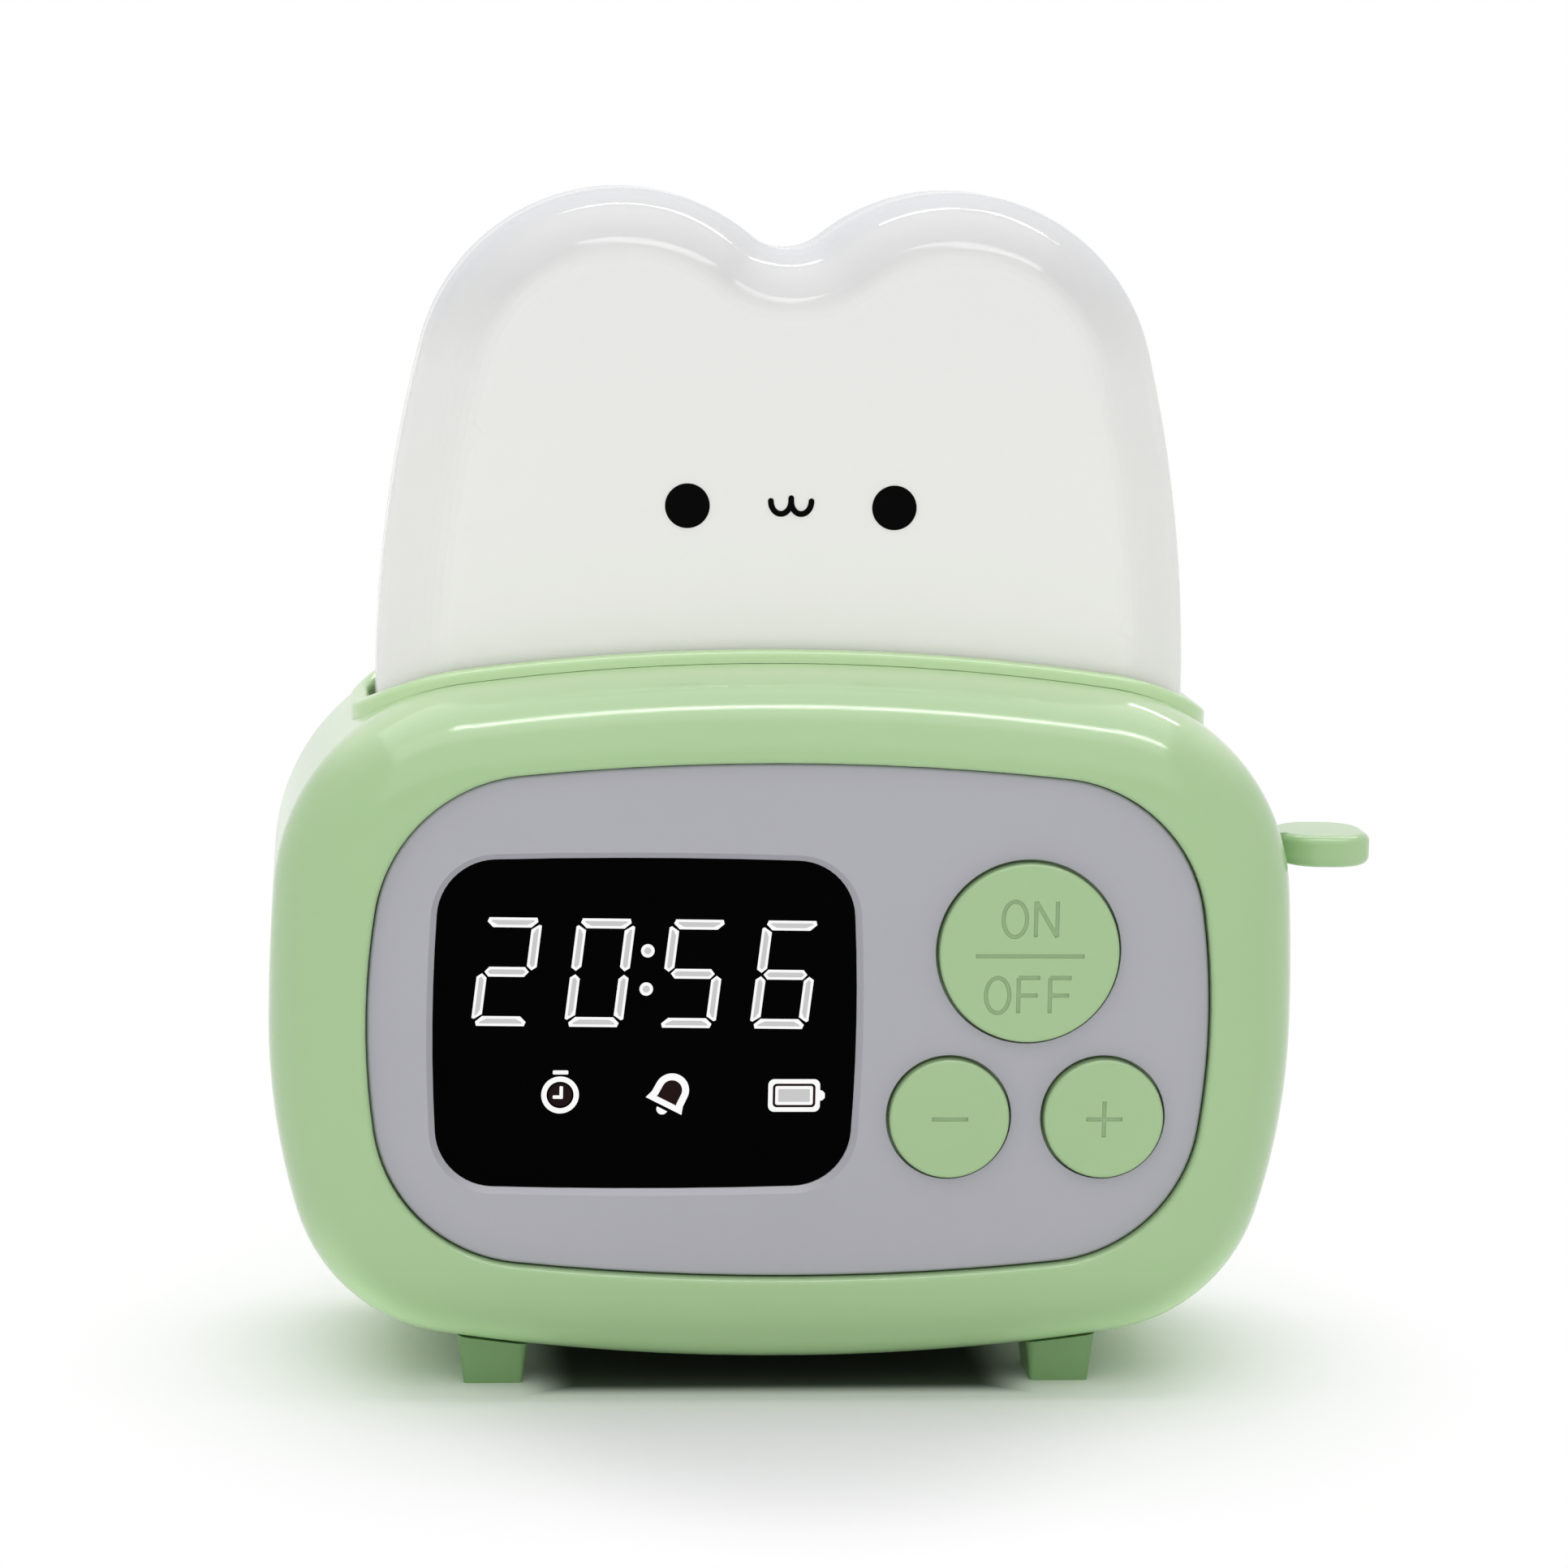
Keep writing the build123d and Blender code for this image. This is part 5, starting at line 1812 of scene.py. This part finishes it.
# ---- Night light ------------------------------------------------------------------------------
@dataclass
class BreadFace:
    """Printed dots and mouth on the slice's front. Lengths are in millimetres."""

    eye_x: float = 10.2
    eye_z: float = 87.45
    eye_r: float = 2.2
    mouth_z: float = 86.75
    mouth_r: float = 1.0
    mouth_w: float = 0.58
    side_rise: float = 1.26
    middle_rise: float = 1.55
    overlap_rise: float = 0.01
    ink_t: float = 0.06
    stands: float = 0.03
    ink: Color = (0.0012, 0.0014, 0.0012, 1.0)

    def build(self) -> None:
        """Print the face."""
        low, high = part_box("bread_diffuser")
        self.front_y = (low.y + BREAD_FLANGE) / MM
        self.middle_x = middle((low, high)).x
        ink = PrintedInk("black_ink", self.ink).make()
        for name, side in (("left", -1), ("right", 1)):
            dot = circle((self.middle_x + side * self.eye_x, self.eye_z), self.eye_r, 72)
            self.print_on(f"{name}_eye", dot, ink)
        self.print_on("mouth_left", self.bowl(-1), ink)
        self.print_on("mouth_right", self.bowl(1), ink, self.overlap_rise)

    def bowl(self, side: int) -> Loop:
        """One bowl of the mouth: a stroke from its outer tip round to the shared middle tip.

        Args:
            side: -1 for the left bowl, 1 for the right one.

        Returns:
            The outline.
        """
        half_turn = arc((0.0, 0.0), 1.0, 0.0, math.pi, 24)
        path = [(-self.mouth_r * (1 + x), self.mouth_z + self.side_rise * (1 - z)) for x, z in half_turn]
        path.append((0.0, self.mouth_z + self.middle_rise))
        return [(self.middle_x - side * x, z) for x, z in stroke_loop(path, self.mouth_w)]

    def print_on(self, name: str, loop: Loop, ink: bpy.types.Material, rise: float = 0.0) -> None:
        """Lay a printed shape on the slice.

        Args:
            name: The piece's name.
            loop: Its outline.
            ink: Its finish.
            rise: How much higher than the others it stands.
        """
        piece = plate(name, [loop], self.front_y - self.stands - rise, self.ink_t)
        piece.data.materials.append(ink)
        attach(piece, Body.CLOCK.value)
        LOG.info("printed %s", name)


def stroke_loop(path: Loop, width: float) -> Loop:
    """The outline of a stroke of even width with round ends.

    Args:
        path: The stroke's middle line.
        width: Its width.

    Returns:
        The outline.
    """
    half = width / 2
    normals = []
    for index in range(len(path)):
        before, after = path[max(index - 1, 0)], path[min(index + 1, len(path) - 1)]
        along = Vector((after[0] - before[0], after[1] - before[1])).normalized()
        normals.append(Vector((-along.y, along.x)))
    left = [(x + n.x * half, z + n.y * half) for (x, z), n in zip(path, normals)]
    right = [(x - n.x * half, z - n.y * half) for (x, z), n in zip(path, normals)]

    def cap(centre: Point, start: Vector) -> Loop:
        """A half circle from a normal round to its opposite, without its ends."""
        first = math.atan2(start.y, start.x)
        return arc(centre, half, first, first - math.pi, CORNER_STEPS)[1:-1]

    return left + cap(path[-1], normals[-1]) + right[::-1] + cap(path[0], -normals[0])


# ---- Screws -----------------------------------------------------------------------------------
@dataclass
class CaseScrews:
    """Four self-tapping screws with crossed recesses. Lengths are in millimetres."""

    steel: bpy.types.Material
    shank_r: float = 1.0
    tip_r: float = 0.25
    tip_l: float = 1.6
    thread_pitch: float = 0.9
    thread_h: float = 0.22
    dome: float = 0.55
    cross_half: float = 1.05
    cross_r: float = 0.32
    cross_depth: float = 0.5
    head_share: float = 0.74
    dome_angle: float = 0.9
    dome_steps: int = 6
    top_share: float = 1.1
    steps: int = 32

    def build(self) -> None:
        """Make one screw, engrave its cross and set it at the four places."""
        boxes = islands("case_screws")
        low, high = boxes[0]
        head_r = (high.x - low.x) / (2 * MM)
        front, back = low.y / MM, high.y / MM
        screw = lathe("one_screw", self.profile(front, back, head_r), self.steps)
        level = back + self.cross_r - self.cross_depth
        half = self.cross_half
        strokes = [
            [Vector((-half, level, 0)) * MM, Vector((half, level, 0)) * MM],
            [Vector((0, level, -half)) * MM, Vector((0, level, half)) * MM],
        ]
        tool = wire("cross", strokes)
        radius = self.cross_r * MM
        engraving_recipe().run(screw, Strokes=tool, Tool_Radius=radius, Finish=self.steel)
        mesh = bpy.data.meshes.new("case_screw_set")
        places = [middle(box) for box in boxes]
        mesh.from_pydata([Vector((place.x, 0, place.z)) * MM for place in places], [], [])
        piece = object_of("case_screw_set", mesh)
        repeats_recipe().run(piece, Piece=screw, Finish=self.steel)
        for used in (tool, screw):
            bpy.data.objects.remove(used)
        soften(piece)
        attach(piece, Body.CLOCK.value)
        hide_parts("case_screws")
        LOG.info("%d case screws", len(places))

    def profile(self, front: float, back: float, head_r: float) -> Loop:
        """The screw's profile from its tip to its domed head.

        Args:
            front: The tip's depth.
            back: The head's top.
            head_r: The head's radius.

        Returns:
            Radius and depth of each point.
        """
        root = self.shank_r - self.thread_h
        points = [(self.tip_r, front), (root, front + self.tip_l)]
        depth = front + self.tip_l
        seat = back - head_r * self.head_share
        while depth + self.thread_pitch < seat:
            for share, radius in ((0.25, root), (0.5, self.shank_r), (0.75, root)):
                points.append((radius, depth + self.thread_pitch * share))
            depth += self.thread_pitch
        points += [(root, seat), (head_r, seat), (head_r, back - self.dome)]
        for step in range(1, self.dome_steps):
            share = step / self.dome_steps
            radius = head_r * math.cos(share * self.dome_angle)
            points.append((radius, back - self.dome * (1 - math.sin(share * math.pi / 2))))
        points.append((self.cross_half * self.top_share, back))
        return points


# ---- Lever's spring ---------------------------------------------------------------------------
@dataclass
class LeverSpring:
    """The lever's return spring, which the lever closes up; the coil here keeps its length."""

    steel: bpy.types.Material
    joint: str = "lever_slide"
    turns: float = 6.5
    wire_r: float = 0.24 * MM

    def build(self) -> None:
        """Wind the coil in its node's place."""
        low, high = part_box("lever_spring")
        length = high.z - low.z
        piece = object_of("return_spring", bpy.data.meshes.new("return_spring"))
        coil_recipe().run(
            piece,
            Turns=self.turns,
            Radius=(high.x - low.x) / 2 - self.wire_r,
            Height=length - 2 * self.wire_r,
            Wire_Radius=self.wire_r,
            Finish=self.steel,
        )
        centre = (low + high) / 2
        piece.data.transform(Matrix.Translation((centre.x, centre.y, low.z + self.wire_r)))
        soften(piece)
        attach(piece, Body.CLOCK.value)
        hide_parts("lever_spring")
        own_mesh(piece)


def main() -> None:
    """Build the studio and dress the clock."""
    logging.basicConfig(level=logging.INFO, format="%(name)s: %(message)s")
    Studio().build()
    materials = Wardrobe().build()
    Display().build()
    Buttons(BUTTON_GREEN).build()
    BreadFace().build()
    CaseScrews(materials[Slot.STEEL]).build()
    LeverSpring(materials[Slot.STEEL]).build()


if __name__ == "__main__":
    main()
